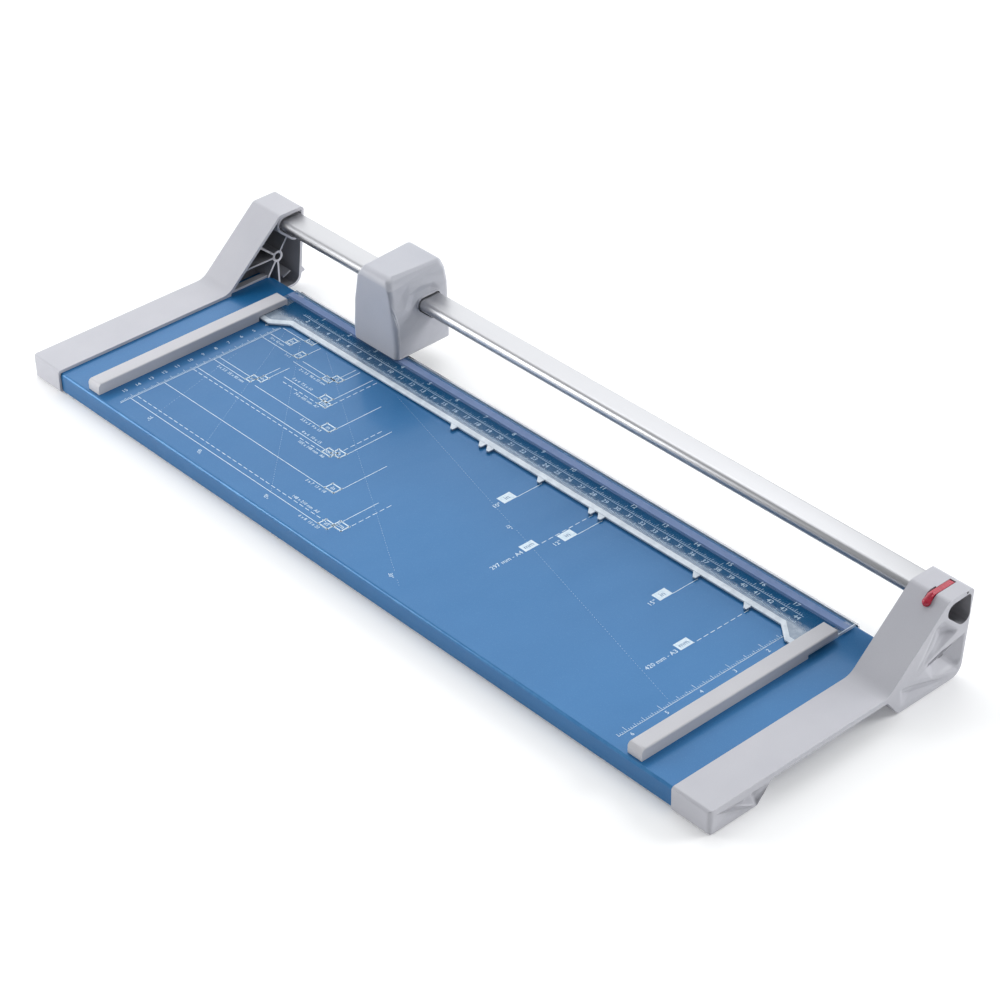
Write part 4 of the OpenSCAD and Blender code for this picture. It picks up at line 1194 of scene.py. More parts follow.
@dataclass
class Print:
    """Thin printed bars and labels on a level face, collected into one mesh."""

    level: float
    thick: float = 0.03
    sink: float = 0.01
    letter_share: float = 0.7
    bm: bmesh.types.BMesh = field(default_factory=bmesh.new)
    labels: list[tuple[str, Matrix]] = field(default_factory=list)

    def _place(self, x: float, y: float, turn: float, long: float, wide: float) -> Matrix:
        """Place of a print that is a little sunk into its face.

        Args:
            x: Its middle along the rail.
            y: Its middle across the table.
            turn: How far it is turned, in radians.
            long: Its length.
            wide: Its width.

        Returns:
            The matrix that takes a unit shape there.
        """
        return (Matrix.Translation((x, y, self.level + self.thick / 2 - self.sink))
                @ Matrix.Rotation(turn, 4, "Z") @ Matrix.Diagonal((long, wide, self.thick, 1.0)))

    def bar(self, x0: float, y0: float, x1: float, y1: float, wide: float) -> None:
        """Adds one straight bar between two points.

        Args:
            x0: Start along the rail.
            y0: Start across the table.
            x1: End along the rail.
            y1: End across the table.
            wide: Width of the bar.
        """
        long = math.hypot(x1 - x0, y1 - y0) + wide
        turn = math.atan2(y1 - y0, x1 - x0)
        matrix = self._place((x0 + x1) / 2, (y0 + y1) / 2, turn, long, wide)
        bmesh.ops.create_cube(self.bm, size=1.0, matrix=matrix)

    def dashes(self, x0: float, y0: float, x1: float, y1: float, wide: float, on: float = 3.0,
               off: float = 2.2) -> None:
        """Adds a dashed line between two points.

        Args:
            x0: Start along the rail.
            y0: Start across the table.
            x1: End along the rail.
            y1: End across the table.
            wide: Width of the line.
            on: Length of a dash.
            off: Gap between dashes.
        """
        length = math.hypot(x1 - x0, y1 - y0)
        ux, uy = (x1 - x0) / length, (y1 - y0) / length
        at = 0.0
        while at < length:
            end = min(at + on, length)
            self.bar(x0 + ux * at, y0 + uy * at, x0 + ux * end, y0 + uy * end, wide)
            at += on + off

    def label(self, words: str, x: float, y: float, high: float, way: Way = Way.ALONG,
              turn: float = 0.0) -> None:
        """Notes a label centred on a point.

        Args:
            words: Numbers and units of the label.
            x: Centre of the label along the rail.
            y: Centre of the label across the table.
            high: Height of the letters.
            way: Direction in which it is read.
            turn: Further turn in degrees.
        """
        size = high / self.letter_share
        turned = math.radians(way.value + turn)
        self.labels.append((words, self._place(x, y, turned, size, size)))

    def _letters(self) -> None:
        """Turns the noted labels into meshes and adds them."""
        holders = []
        for words, place in self.labels:
            text = bpy.data.curves.new("label", "FONT")
            text.body = words
            text.align_x, text.align_y = "CENTER", "CENTER"
            text.resolution_u = 2
            text.extrude = 0.5
            holder = bpy.data.objects.new("label", text)
            bpy.context.scene.collection.objects.link(holder)
            holders.append((holder, place))
        scene_now = bpy.context.evaluated_depsgraph_get()
        for holder, place in holders:
            mesh = bpy.data.meshes.new_from_object(holder.evaluated_get(scene_now))
            part = bmesh.new()
            part.from_mesh(mesh)
            bpy.data.meshes.remove(mesh)
            bmesh.ops.transform(part, matrix=place, verts=part.verts)
            bmesh.ops.remove_doubles(part, verts=part.verts, dist=0.0001)
            merge_in(self.bm, part)
        for holder, _ in holders:
            text = holder.data
            bpy.data.objects.remove(holder)
            bpy.data.curves.remove(text)

    def box(self, x0: float, y0: float, x1: float, y1: float) -> None:
        """Adds a filled rectangle between two corners."""
        matrix = self._place((x0 + x1) / 2, (y0 + y1) / 2, 0.0, abs(x1 - x0), abs(y1 - y0))
        bmesh.ops.create_cube(self.bm, size=1.0, matrix=matrix)

    def piece(self, name: str, finish: bpy.types.Material, slot: Slot, body: Body) -> None:
        """Makes the collected print a piece."""
        self._letters()
        add_piece(name, self.bm, finish, body, even=False)


@dataclass
class TablePrint:
    """Scales, sheet corners and angle lines printed on the table.

    Places are given as distances x from the left fence and d from the cutting edge.

    Attributes:
        left: Where the left fence is.
        cut: Where the cutting edge is.
        line, fine, frame, dot: Widths of lines, ticks, frames and dots.
        dot_gap: Distance from dot to dot.
        cm_x, cm_numbers_x, inch_x, inch_numbers_x: Columns of the ticks and the numbers.
        parts: Ticks in an inch.
        number: Height of the scales' numbers.
        sheet: The white print.
        marks: The blue letters in the filled marks.
    """

    finishes: Finishes
    left: float = -230.5
    cut: float = 68.25
    line: float = 0.42
    fine: float = 0.3
    frame: float = 0.8
    dot: float = 0.13
    dot_gap: float = 2.4
    cm_x: float = 15.9
    cm_numbers_x: float = 6.6
    inch_x: float = 449.0
    inch_numbers_x: float = 452.2
    inch: float = 25.4
    parts: int = 16
    number: float = 2.7
    sheet: Print = field(init=False)
    marks: Print = field(init=False)

    def build(self) -> None:
        """Builds the print."""
        self.sheet = Print(top_of("base_plate"), 0.03)
        self.marks = Print(top_of("base_plate") + 0.015, 0.03)
        self._left_scale()
        self._right_scale()
        self._corners()
        self._cross_lines()
        self._angles()
        self.sheet.piece("table_scales", self.finishes.ink, Slot.TABLE, Body.BASE)
        self.marks.piece("table_unit_marks", self.finishes.mark_ink, Slot.TABLE, Body.BASE)

    def _bar(self, x0: float, d0: float, x1: float, d1: float, wide: float | None = None) -> None:
        """Bar between points given from the left fence and from the cutting edge."""
        self.sheet.bar(self.left + x0, self.cut - d0, self.left + x1, self.cut - d1, wide or self.line)

    def _dash(self, x0: float, d0: float, x1: float, d1: float) -> None:
        """Dashed line between points given from the left fence and from the cutting edge."""
        self.sheet.dashes(self.left + x0, self.cut - d0, self.left + x1, self.cut - d1, self.line)

    def _text(self, words: str, x: float, d: float, high: float, way: Way = Way.ALONG,
              turn: float = 0.0) -> None:
        """Label centred on a point given from the left fence and from the cutting edge."""
        self.sheet.label(words, self.left + x, self.cut - d, high, way, turn)

    def _mark(self, x0: float, d0: float, x1: float, d1: float, words: str) -> None:
        """Prints a framed unit mark.

        Args:
            x0: Its left side, from the left fence.
            d0: Its far side, from the cutting edge.
            x1: Its right side, from the left fence.
            d1: Its near side, from the cutting edge.
            words: The unit.
        """
        edge = self.frame / 2
        for line in ((x0, d0 + edge, x1, d0 + edge), (x0, d1 - edge, x1, d1 - edge),
                     (x0 + edge, d0, x0 + edge, d1), (x1 - edge, d0, x1 - edge, d1)):
            self._bar(*line, self.frame)
        self._text(words, (x0 + x1) / 2, (d0 + d1) / 2, min(abs(x1 - x0), abs(d1 - d0)) * 0.5)

    def _solid_mark(self, x0: float, d0: float, x1: float, d1: float, words: str) -> None:
        """Prints a filled unit mark, read from the right, with its letters in the table's blue.

        Args:
            x0: Its left side, from the left fence.
            d0: Its far side, from the cutting edge.
            x1: Its right side, from the left fence.
            d1: Its near side, from the cutting edge.
            words: The unit.
        """
        self.sheet.box(self.left + x0, self.cut - d1, self.left + x1, self.cut - d0)
        x = self.left + (x0 + x1) / 2
        self.marks.label(words, x, self.cut - (d0 + d1) / 2, (x1 - x0) * 0.5, Way.UP)

    def _left_scale(self) -> None:
        """Centimetre scale beside the left fence."""
        self._bar(self.cm_x, 36, self.cm_x, 160, self.fine)
        for n in range(36, 160):
            reach = 3.4 if n % 10 == 0 else 2.4 if n % 5 == 0 else 1.5
            self._bar(self.cm_x - reach, n, self.cm_x, n, self.fine * 0.8)
        for n in range(4, 16):
            self._text(str(n), self.cm_numbers_x, 10 * n, self.number, Way.UP)

    def _right_scale(self) -> None:
        """Inch scale beside the right fence."""
        self._bar(self.inch_x, 29, self.inch_x, 159, self.fine)
        for n in range(19, 101):
            reach = 4.2 if n % self.parts == 0 else 3.0 if n % 8 == 0 else 2.2 if n % 4 == 0 else 1.4
            d = n * self.inch / self.parts
            self._bar(self.inch_x - reach, d, self.inch_x, d, self.fine * 0.8)
        for n in range(2, 7):
            self._text(str(n), self.inch_numbers_x, self.inch * n, self.number, Way.UP)

    def _corners(self) -> None:
        """Corners of the small sheet formats."""
        solid = (
            (17.1, 34.65, 45.5, 34.65), (51.6, 33, 51.6, 50.7), (17.1, 44.65, 36, 44.65),
            (16.5, 50.7, 51.6, 50.7), (55.9, 50.3, 89.9, 50.3), (89.9, 33, 89.9, 50.3),
            (51.9, 54.6, 85.9, 54.6), (85.9, 33, 85.9, 54.6), (15.9, 84.7, 51.5, 84.7),
            (15.9, 88.7, 46.5, 88.7), (51.9, 65.3, 51.9, 80.3), (55.9, 61.3, 55.9, 76.7),
            (61.5, 69.7, 101.9, 69.7), (101.9, 33, 101.9, 69.7), (56.9, 88.7, 127.9, 88.7),
            (127.9, 48.3, 127.9, 88.7), (16.5, 101.8, 153, 101.8), (153, 61.3, 153, 101.8),
            (15.9, 127, 178.6, 127), (178.6, 86.7, 178.6, 127), (15.9, 152.4, 203.7, 152.4),
            (203.7, 114.3, 203.7, 152.4))
        broken = (
            (65.5, 73.7, 105.9, 73.7), (105.9, 33, 105.9, 73.7), (16.5, 104.9, 148.5, 104.9),
            (148.5, 65.3, 148.5, 104.9), (17.5, 148, 210.6, 148), (210.6, 110.7, 210.6, 148))
        for line in solid:
            self._bar(*line)
        for line in broken:
            self._dash(*line)
        boxes = (
            (38.1, 29.25, 45.5, 34.65, "cm"), (30.5, 37.2, 35.9, 43.9, "in"),
            (46.1, 43.2, 51.6, 50.7, "in"), (82.4, 45.1, 89.9, 50.3, "in"),
            (78.2, 49.6, 85.9, 54.6, "cm"), (46.5, 81.4, 51.9, 88.7, "cm"),
            (51.5, 77.3, 56.7, 84.0, "in"), (94, 63.6, 101.9, 69.7, "in"),
            (98.4, 68.1, 105.9, 73.7, "cm"), (119, 82.6, 127.9, 88.7, "in"),
            (145, 95.3, 153, 101.8, "in"), (140, 98.7, 148.5, 104.9, "cm"),
            (170, 120.4, 178.6, 127, "in"), (202, 141.1, 210.6, 148, "cm"),
            (195, 145.9, 203.7, 152.4, "in"))
        for box in boxes:
            self._mark(*box)
        notes = (
            ("30 x 42 mm", 26.5, 47.4, 1.9), ("2 x 2", 44.0, 52.9, 1.7),
            ("2 x 3.5  90 x 55 mm", 73.5, 57.3, 2.1), ("2 x 3.5  55 x 85 mm", 36.0, 91.4, 2.2),
            ("3 x 4  7.5 x 10", 75.5, 66.7, 2.2), ("74 x 105 mm  A7", 91.0, 76.4, 2.2),
            ("3.5 x 5  9 x 13", 114.0, 91.4, 2.2), ("4 x 6  10 x 15", 124.5, 99.3, 2.2),
            ("105 x 148 mm  A6", 134.0, 107.5, 2.2), ("5 x 7  13 x 18", 165.5, 129.6, 2.2),
            ("148 x 210 mm  A5", 175.5, 145.3, 2.2), ("6 x 8  15 x 20", 190.5, 155.0, 2.2))
        for words, x, d, high in notes:
            self._text(words, x, d, high)

    def _cross_lines(self) -> None:
        """Cross lines of the long sheet formats, with their marks."""
        for inches in (10, 12, 15):
            x = inches * self.inch
            self._bar(x, 33, x, 52)
            self._solid_mark(x - 7, 52, x, 61.9, "in")
            self._text(f'{inches}"', x - 1.6, 66.4, 3.1, Way.UP)
        for x, words in ((297.0, "297 mm - A4"), (420.0, "420 mm - A3")):
            self._dash(x, 33, x, 75)
            self._solid_mark(x - 6.4, 74.7, x, 84.7, "mm")
            self._text(words, x - 1.4, 98.0, 3.1, Way.UP)

    def _angles(self) -> None:
        """Dotted angle lines from the zero corner, kept clear of their degrees."""
        marks = {75: (41.5, 157.4), 60: (90.5, 157.4), 45: (154.0, 157.4), 30: (262.0, 154.5),
                 15: (273.0, 75.8)}
        left, right, far, near = 20.0, 446.0, 34.0, 158.0
        clear = 5.0
        for degrees, (x, d) in marks.items():
            slope = math.tan(math.radians(degrees))
            x0 = max(left, far / slope)
            x1 = min(right, near / slope)
            length = math.hypot(x1 - x0, (x1 - x0) * slope)
            steps = int(length / self.dot_gap)
            for k in range(steps):
                px = x0 + (x1 - x0) * (k / steps)
                if math.hypot(px - x, px * slope - d) > clear:
                    qx = px + 0.5 * math.cos(math.radians(degrees))
                    self._bar(px, px * slope, qx, qx * slope, self.dot)
            self._text(f"{degrees}°", x, d, 2.5, turn=-degrees)


@dataclass
class Head:
    """Cutting head: moulded cover with folded sides, and the frame inside it.

    Attributes:
        middle: Where the head's middle is along the rail.
        seam: Line of the groove between the front and the cheek.
        groove, groove_half: Depth and half width of the groove.
        seam_reach: How far from the seam the mesh is made finer.
        seam_grain, side_grain: Longest edges near the seam and on the rest of the sides.
        side_slope: Least sideways part of a side's normal.
        side_x: How far from the middle the sides start.
        ease: Over what distance the folds fade in there.
        inner_most: Most that the wall's inner face moves.
        edge_round: Width of the roundings.
        collar_x, collar_y, collar_z: Where the rim of the rail's passage is.
        hem: Height of the lower hem.
        relief: Folds of the sides.
    """

    finishes: Finishes
    middle: float = -151.0
    seam: tuple[Point, ...] = ((52.9, 70.5), (57.6, 49.7), (59.3, 40.4), (58.8, 17.0))
    groove: float = 0.6
    groove_half: float = 0.5
    seam_reach: float = 1.4
    seam_grain: float = 0.4
    side_grain: float = 1.1
    side_slope: float = 0.55
    side_x: float = 13.0
    ease: float = 2.0
    inner_most: float = 1.5
    edge_round: float = 0.5
    collar_x: float = 17.6
    collar_y: Point = (74.0, 95.0)
    collar_z: Point = (34.0, 54.5)
    hem: float = field(init=False)
    relief: Relief = Relief(
        lines=(
            ((40.0, 14.0, 0.0), (104.0, 14.0, 0.0), (104.0, 78.0, 0.0), (40.0, 78.0, 0.0),
             (40.0, 14.0, 0.0)),
            ((52.9, 72.5, 0.0), (52.9, 70.5, 0.0), (57.6, 49.7, 0.0), (59.3, 40.4, 0.0),
             (58.8, 14.5, 0.0)),
            ((54.4, 70.4, 0.3), (58.9, 50.1, 0.8), (60.6, 41.0, 1.6), (60.9, 29.0, 2.6),
             (60.2, 16.0, 1.6)),
            ((60.6, 41.0, 1.6), (66.0, 50.0, 0.7), (71.0, 57.6, 0.5), (80.0, 60.6, 0.5),
             (90.0, 59.6, 0.5), (101.0, 56.0, 0.3)),
            ((60.6, 52.5, 1.2), (66.0, 58.6, 1.5), (72.0, 63.6, 1.3), (84.0, 65.2, 1.1),
             (99.0, 61.0, 0.6)),
            ((54.4, 72.5, 0.0), (75.0, 73.0, 0.0), (99.0, 72.0, 0.0)),
            ((72.0, 50.0, 2.0), (75.5, 56.6, 1.8), (88.0, 57.0, 1.6), (96.5, 52.0, 0.8)),
            ((60.6, 41.0, 1.6), (74.0, 43.2, 1.8), (86.0, 37.0, 2.2), (95.0, 31.0, 1.4),
             (102.0, 27.0, 0.3)),
            ((60.9, 29.0, 2.6), (76.0, 31.0, 2.6), (88.0, 30.5, 2.2), (97.0, 25.5, 0.9)),
            ((60.2, 16.0, 1.6), (80.0, 16.0, 0.5), (101.0, 16.0, 0.0))))

    def build(self) -> None:
        """Builds the cover, then the pieces inside it."""
        self._cover()
        self._inside()

    def _cover(self) -> None:
        """Cover whose side walls are folded round the rail."""
        bm = solid_copy("head_cover")
        self.hem = min(v.co.z for v in bm.verts)
        tag = bm.faces.layers.int.new("side")
        for face in bm.faces:
            aside = abs(face.calc_center_median().x - self.middle) > self.side_x
            face[tag] = 1 if aside and abs(face.normal.x) > self.side_slope else 0
        soften(bm, self.edge_round, self._on_collar, 3)
        soften(bm, self.edge_round, self._on_hem, 2)
        # Sky occlusion for the painted shade in the cover's hollows.
        shade_cavities(bm)
        refine(bm, tag, self.side_grain)
        seam_side = bm.faces.layers.int.new("seam_side")
        for face in bm.faces:
            centre = face.calc_center_median()
            outward = face.normal.x * (centre.x - self.middle) > 0.0
            near = near_line(centre.y, centre.z, self.seam) < self.seam_reach
            face[seam_side] = 1 if face[tag] == 1 and outward and near else 0
        refine(bm, seam_side, self.seam_grain)
        depth = self.relief.sampler()
        for vert in bm.verts:
            off = vert.co.x - self.middle
            side = 1 if off > 0 else -1
            reach = min(1.0, max(0.0, (abs(off) - self.side_x) / self.ease))
            if reach <= 0.0 or not any(f[tag] == 1 for f in vert.link_faces):
                continue
            y, z = vert.co.y, vert.co.z
            cut = depth(y, z)
            ditch = near_line(y, z, self.seam)
            if ditch < self.groove_half:
                cut += self.groove * (1.0 - ditch / self.groove_half) ** 0.6
            if sum(f.normal.x * side for f in vert.link_faces if f[tag] == 1) < 0.0:
                cut = min(cut, self.inner_most)
            vert.co.x -= side * cut * reach
        add_piece("moulded_head_cover", bm, self.finishes.head, Body.HEAD, ["head_cover"],
                  sharp=50.0)

    def _on_collar(self, edge: bmesh.types.BMEdge) -> bool:
        """Picks the outer rims of the rail's passage.

        Args:
            edge: The edge.

        Returns:
            Whether it is rounded.
        """
        middle = (edge.verts[0].co + edge.verts[1].co) / 2
        return (fold_of(edge) > 55.0 and abs(middle.x - self.middle) > self.collar_x
                and self.collar_z[0] < middle.z < self.collar_z[1]
                and self.collar_y[0] < middle.y < self.collar_y[1])

    def _on_hem(self, edge: bmesh.types.BMEdge) -> bool:
        """Whether an edge is on the cover's lower hem."""
        return fold_of(edge) > 50.0 and all(v.co.z < self.hem + ON_PLANE for v in edge.verts)

    def _inside(self) -> None:
        """Chassis, bushes and skid with broken edges."""
        rows = (("head_chassis", "head_frame", self.finishes.black, Slot.BLACK, 0.4),
                ("slide_bushes", "rail_bushes", self.finishes.bush, Slot.BUSH, 0.2),
                ("pressing_skid", "strip_skid", self.finishes.skid, Slot.SKID, 0.3))
        for node, name, finish, slot, width in rows:
            bm = solid_copy(node)
            soften(bm, width, lambda e: is_corner(e, 1.6), 2)
            add_piece(name, bm, finish, Body.HEAD, [node])


@dataclass
class Latch:
    """Red latch: a strap in its groove, a flared finger pad, a tongue and a hinge eye."""

    finishes: Finishes
    edge: float = 0.3
    pin_edge: float = 0.15

    def build(self) -> None:
        """Builds the latch from its solid with softened edges."""
        bm = solid_copy("rail_latch")
        soften(bm, self.edge, lambda e: is_corner(e, 0.9, 50.0), 2)
        add_piece("finger_latch", bm, self.finishes.latch, Body.LATCH, ["rail_latch"],
                  sharp=40.0)
        pin = solid_copy("latch_pin")
        soften(pin, self.pin_edge, is_corner, 2)
        add_piece("latch_hinge_pin", pin, self.finishes.screw, Body.BASE, ["latch_pin"])


@dataclass(frozen=True)
class ScrewSort:
    """Sizes of one sort of pan head screw, in millimetres.

    Attributes:
        node: The CAD node that holds these screws.
        body: The body that they ride on.
        head_r, head_h, shank_r: Radius and height of the head, and radius of the shank.
        axis: Direction from the head to the tip.
    """

    node: str
    body: Body
    head_r: float
    head_h: float
    shank_r: float
    axis: Vector

    def head_at(self, low: Vector, high: Vector) -> Vector:
        """Finds the middle of the head's outer face.

        Args:
            low: Lowest corner of the screw's box.
            high: Highest corner of the screw's box.

        Returns:
            The point.
        """
        centre = (low + high) / 2
        for k in range(3):
            if self.axis[k] > 0.5:
                centre[k] = low[k]
            elif self.axis[k] < -0.5:
                centre[k] = high[k]
        return centre


@dataclass
class Screws:
    """Every screw, turned with a domed head, a round recess and a grooved shank.

    Attributes:
        pitch: Distance from groove to groove.
        root: Radius at a groove, as a share of the shank's.
    """

    finishes: Finishes
    pitch: float = 0.8
    root: float = 0.84

    def build(self) -> None:
        """Builds the sorts of screws in turn."""
        sorts = (
            ScrewSort("fence_screws", Body.BASE, 2.4, 1.5, 1.25, Vector((0, 0, 1))),
            ScrewSort("counter_blade_screws", Body.BASE, 2.4, 1.5, 1.25, Vector((0, 1, 0))),
            ScrewSort("cap_screws", Body.BASE, 3.0, 1.4, 1.5, Vector((0, 0, 1))),
            ScrewSort("head_screws", Body.HEAD, 2.4, 1.5, 1.25, Vector((0, -1, 0))),
            ScrewSort("skid_screws", Body.HEAD, 2.4, 1.5, 1.25, Vector((0, 1, 0))))
        for sort in sorts:
            bm = bmesh.new()
            for low, high in self._boxes(sort.node):
                self._turn(bm, sort, low, high)
            add_piece(f"turned_{sort.node}", bm, self.finishes.screw, sort.body,
                      [sort.node], sharp=34.0)

    @staticmethod
    def _boxes(node: str) -> list[tuple[Vector, Vector]]:
        """Finds the box of each loose solid of a node.

        Args:
            node: The CAD node's name.

        Returns:
            Lowest and highest corners, in millimetres.
        """
        bm = solid_copy(node)
        seen = set()
        boxes = []
        for first in bm.verts:
            if first in seen:
                continue
            seen.add(first)
            stack, part = [first], []
            while stack:
                vert = stack.pop()
                part.append(vert.co.copy())
                others = [edge.other_vert(vert) for edge in vert.link_edges]
                fresh = [other for other in others if other not in seen]
                seen.update(fresh)
                stack += fresh
            boxes.append((Vector(min(c[k] for c in part) for k in range(3)),
                          Vector(max(c[k] for c in part) for k in range(3))))
        bm.free()
        return boxes

    def _turn(self, bm: bmesh.types.BMesh, sort: ScrewSort, low: Vector, high: Vector) -> None:
        """Turns one screw into the box of its solid.

        Args:
            bm: The mesh that gets the screw.
            sort: The screw's sort.
            low: Lowest corner of its solid.
            high: Highest corner of its solid.
        """
        length = abs((high - low).dot(sort.axis))
        r, h, s = sort.head_r, sort.head_h, sort.shank_r
        profile = [(0.0, h * 0.42), (r * 0.3, h * 0.42), (r * 0.42, 0.05 * h), (r * 0.62, 0.04 * h),
                   (r * 0.85, 0.16 * h), (r * 0.97, 0.4 * h), (r, 0.62 * h), (r, h), (s, h)]
        z = h + 0.5
        while z < length - 0.9:
            profile += [(s, z), (s * self.root, z + self.pitch / 2)]
            z += self.pitch
        profile += [(s * 0.8, length - 0.5), (s * 0.45, length - 0.02), (0.0, length - 0.02)]
        turn = Vector((0, 0, 1)).rotation_difference(sort.axis).to_matrix().to_4x4()
        lathe(bm, profile, Matrix.Translation(sort.head_at(low, high)) @ turn, 28)


@dataclass
class Cutter:
    """Wheel, hub, carrier, axle and spring inside the head."""

    finishes: Finishes
    wire: float = 0.42
    coils: float = 5.5
    coil_steps: int = 26

    def build(self) -> None:
        """Builds the pieces from their solids with broken edges, and coils the spring."""
        rows = (("round_blade", "ground_wheel", self.finishes.wheel, Slot.BLADE, Body.WHEEL, 0.03),
                ("blade_hub", "wheel_hub", self.finishes.black, Slot.BLACK, Body.WHEEL, 0.25),
                ("blade_carrier", "sprung_carrier", self.finishes.carrier, Slot.CARRIER,
                 Body.CARRIER, 0.3),
                ("blade_axle", "pressed_axle", self.finishes.screw, Slot.SCREW, Body.CARRIER, 0.2),
                ("stem_ring", "retaining_ring", self.finishes.screw, Slot.SCREW, Body.CARRIER, 0.12),
                ("axle_screw", "slotted_axle_screw", self.finishes.screw, Slot.SCREW,
                 Body.CARRIER, 0.15))
        for node, name, finish, slot, body, width in rows:
            bm = solid_copy(node)
            soften(bm, width, lambda e: is_corner(e, 0.1, 55.0), 2)
            add_piece(name, bm, finish, body, [node])
        self._coil()

    def _coil(self) -> None:
        """Coiled spring in the space of its solid."""
        low, high = (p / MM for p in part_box("carrier_spring"))
        radius = (high.x - low.x) / 2 - self.wire
        middle = (low + high) / 2
        bm = bmesh.new()
        ring = bmesh.ops.create_circle(bm, cap_ends=True, segments=10, radius=self.wire)["verts"]
        start = Matrix.Translation((middle.x + radius, low.y + self.wire, middle.z))
        bmesh.ops.transform(bm, matrix=start, verts=ring)
        steps = int(self.coils * self.coil_steps)
        rise = (high.y - low.y - 2 * self.wire) / steps
        bmesh.ops.spin(bm, geom=bm.faces[:], cent=middle, axis=(0, -1, 0), dvec=Vector((0, rise, 0)),
                       angle=math.tau * self.coils, steps=steps, use_duplicate=False)
        bmesh.ops.recalc_face_normals(bm, faces=bm.faces)
        add_piece("coiled_carrier_spring", bm, self.finishes.spring, Body.HEAD,
                  ["carrier_spring"], sharp=60.0, even=False)


@dataclass
class Fittings:
    """Feet, guide pins and leaf springs.

    Attributes:
        spring_edge: Width of the springs' broken edges.
        spring_gap: Room left between the pressed springs and the strip; not used.
    """

    finishes: Finishes
    spring_edge: float = 0.03
    spring_gap: float = 0.03

    def build(self) -> None:
        """Builds the small fittings from their solids."""
        rows = (("rubber_feet", "moulded_feet", self.finishes.rubber, Slot.RUBBER, 0.35),
                ("strip_guide_pins", "turned_guide_pins", self.finishes.screw, Slot.SCREW, 0.25))
        for node, name, finish, slot, width in rows:
            bm = solid_copy(node)
            soften(bm, width, is_corner, 2)
            add_piece(name, bm, finish, Body.BASE, [node])
        self._leaf_springs()

    def _leaf_springs(self) -> None:
        """Bowed springs under the clear strip, with broken edges and a mesh of their own."""
        bm = solid_copy("strip_springs")
        soften(bm, self.spring_edge, is_corner, 2)
        springs = add_piece("bowed_leaf_springs", bm, self.finishes.spring, Body.BASE,
                            ["strip_springs"])
        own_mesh(springs)


# Studio


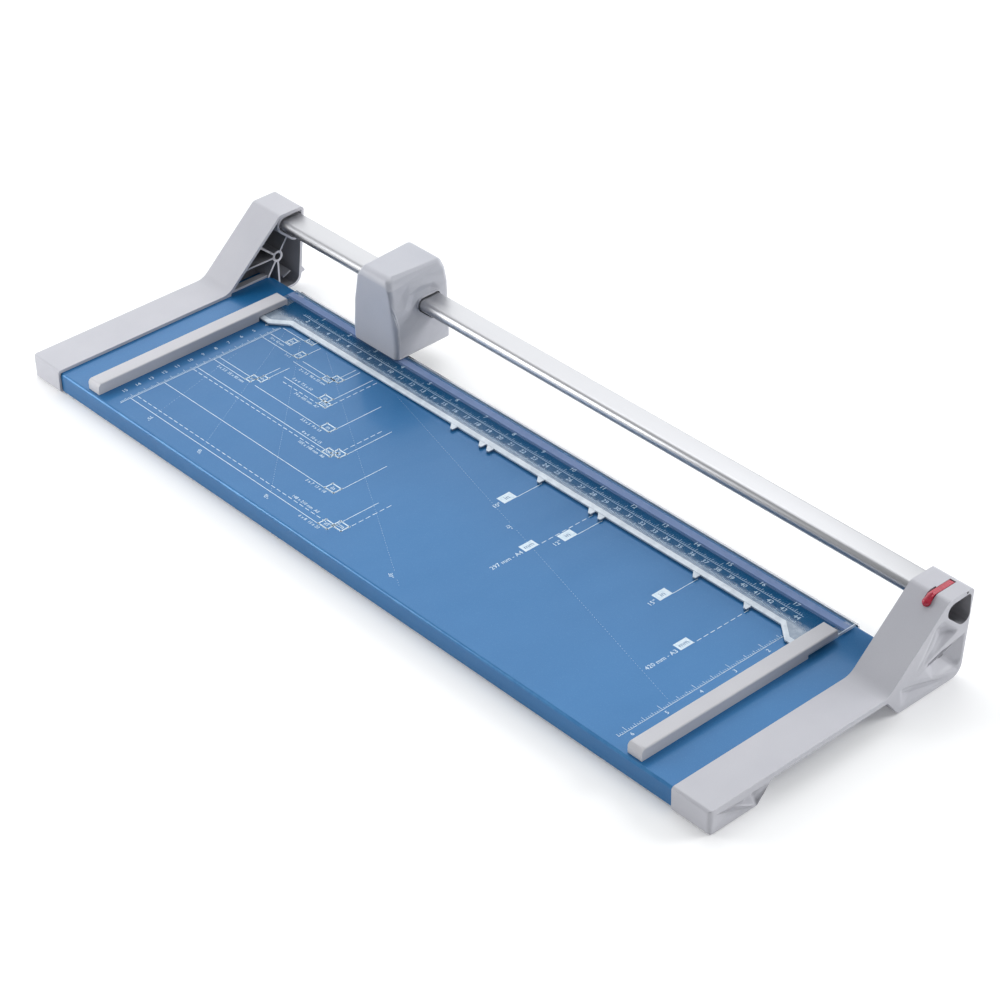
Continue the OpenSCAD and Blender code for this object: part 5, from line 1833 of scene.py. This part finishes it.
@dataclass
class Studio:
    """Pale floor, soft lights and the camera.

    Attributes:
        spot, turn, lens, sensor: The camera's place, angles, focal length and sensor width.
        floor_half: Half the floor's side, in metres.
        floor_lift: How much light the floor gives of itself.
    """

    spot: Vector = field(default_factory=lambda: Vector((1.06203, -0.91457, 0.99387)))
    turn: Euler = field(default_factory=lambda: Euler((math.radians(54.84625), math.radians(0.90771),
                                                       math.radians(47.90258))))
    lens: float = 106.516
    sensor: float = 36.0
    floor_half: float = 6.0
    floor_lift: float = 0.12

    def build(self) -> None:
        """Builds the floor, the lights and the camera."""
        self._floor()
        self._lights()
        self._camera()

    def _floor(self) -> None:
        """Wide pale floor under the feet."""
        bm = bmesh.new()
        bmesh.ops.create_grid(bm, x_segments=1, y_segments=1, size=self.floor_half)
        mesh = bpy.data.meshes.new("studio_floor")
        bm.to_mesh(mesh)
        bm.free()
        g = Graph("pale_floor")
        g.colour(g.blend(g.noise(3.0, 2.0), (0.93, 0.93, 0.93), (0.945, 0.945, 0.945)))
        g.set(Roughness=0.9, Specular_IOR_Level=0.1, Emission_Color=(1.0, 1.0, 1.0, 1.0),
              Emission_Strength=self.floor_lift)
        mesh.materials.append(g.material)
        floor = bpy.data.objects.new("studio_floor", mesh)
        bpy.context.scene.collection.objects.link(floor)

    def _lights(self) -> None:
        """White dome with soft boxes behind, above, beside and low in front."""
        scene = bpy.context.scene
        self._dome()
        self._soft_box("back_box", Vector((-2.2, 1.5, 1.76)), side=3.4, glow=0.98)
        self._soft_box("top_box", Vector((-0.5, 0.6, 2.2)), side=1.6, glow=1.2)
        self._soft_box("side_box", Vector((1.15, 1.75, 0.95)), side=1.0, glow=8.5)
        self._soft_box("front_fill", Vector((-0.85, -0.75, 0.45)), side=0.6, glow=6.2)
        scene.view_settings.view_transform = "Standard"
        scene.view_settings.look = "None"

    def _dome(self) -> None:
        """Dim white dome that is brighter towards the back."""
        world = bpy.data.worlds.new("white_dome")
        world.use_nodes = True
        tree = world.node_tree
        back = tree.nodes["Background"]
        back.inputs["Color"].default_value = (0.95, 0.975, 1.0, 1.0)
        way = tree.nodes.new("ShaderNodeVectorMath")
        way.operation = "DOT_PRODUCT"
        way.inputs[1].default_value = (-0.45, 0.8, 0.3)
        tree.links.new(tree.nodes.new("ShaderNodeTexCoord").outputs["Generated"], way.inputs[0])
        level = tree.nodes.new("ShaderNodeMapRange")
        tree.links.new(way.outputs["Value"], level.inputs["Value"])
        for key, number in zip(RANGE_SOCKETS, (-1.0, 1.0, 0.16, 0.74)):
            level.inputs[key].default_value = number
        tree.links.new(level.outputs["Result"], back.inputs["Strength"])
        bpy.context.scene.world = world

    @staticmethod
    def _soft_box(name: str, spot: Vector, side: float, glow: float) -> None:
        """Square soft light that points at the trimmer.

        Args:
            name: The light's name.
            spot: Its place in metres.
            side: Its side in metres.
            glow: Its radiance, where 1 makes a white sheet seen in a mirror.
        """
        light = bpy.data.lights.new(name, "AREA")
        light.shape = "SQUARE"
        light.size = side
        light.energy = math.pi * side * side * glow
        holder = bpy.data.objects.new(name, light)
        holder.location = spot
        holder.rotation_euler = (Vector((0, 0, 0)) - spot).to_track_quat("-Z", "Y").to_euler()
        bpy.context.scene.collection.objects.link(holder)

    def _camera(self) -> None:
        """Camera at the photograph's place, angle and focal length."""
        data = bpy.data.cameras.new("photo_camera")
        data.lens = self.lens
        data.sensor_width = self.sensor
        data.clip_start, data.clip_end = 0.05, 50.0
        camera = bpy.data.objects.new("photo_camera", data)
        camera.location = self.spot
        camera.rotation_euler = self.turn
        bpy.context.scene.collection.objects.link(camera)
        bpy.context.scene.camera = camera


def main() -> None:
    """Builds the trimmer's sub-assemblies and the studio in order."""
    logging.basicConfig(level=logging.INFO, format="%(name)s: %(message)s")
    finishes = Finishes()
    for part in (Table(finishes), EndCap(finishes, -1, "left_end_cap"),
                 EndCap(finishes, 1, "right_end_cap"), Rail(finishes), Fences(finishes),
                 ClampStrip(finishes), TablePrint(finishes), Head(finishes), Latch(finishes),
                 Cutter(finishes), Screws(finishes), Fittings(finishes), Studio()):
        log.info("building %s", type(part).__name__)
        part.build()


if __name__ == "__main__":
    main()
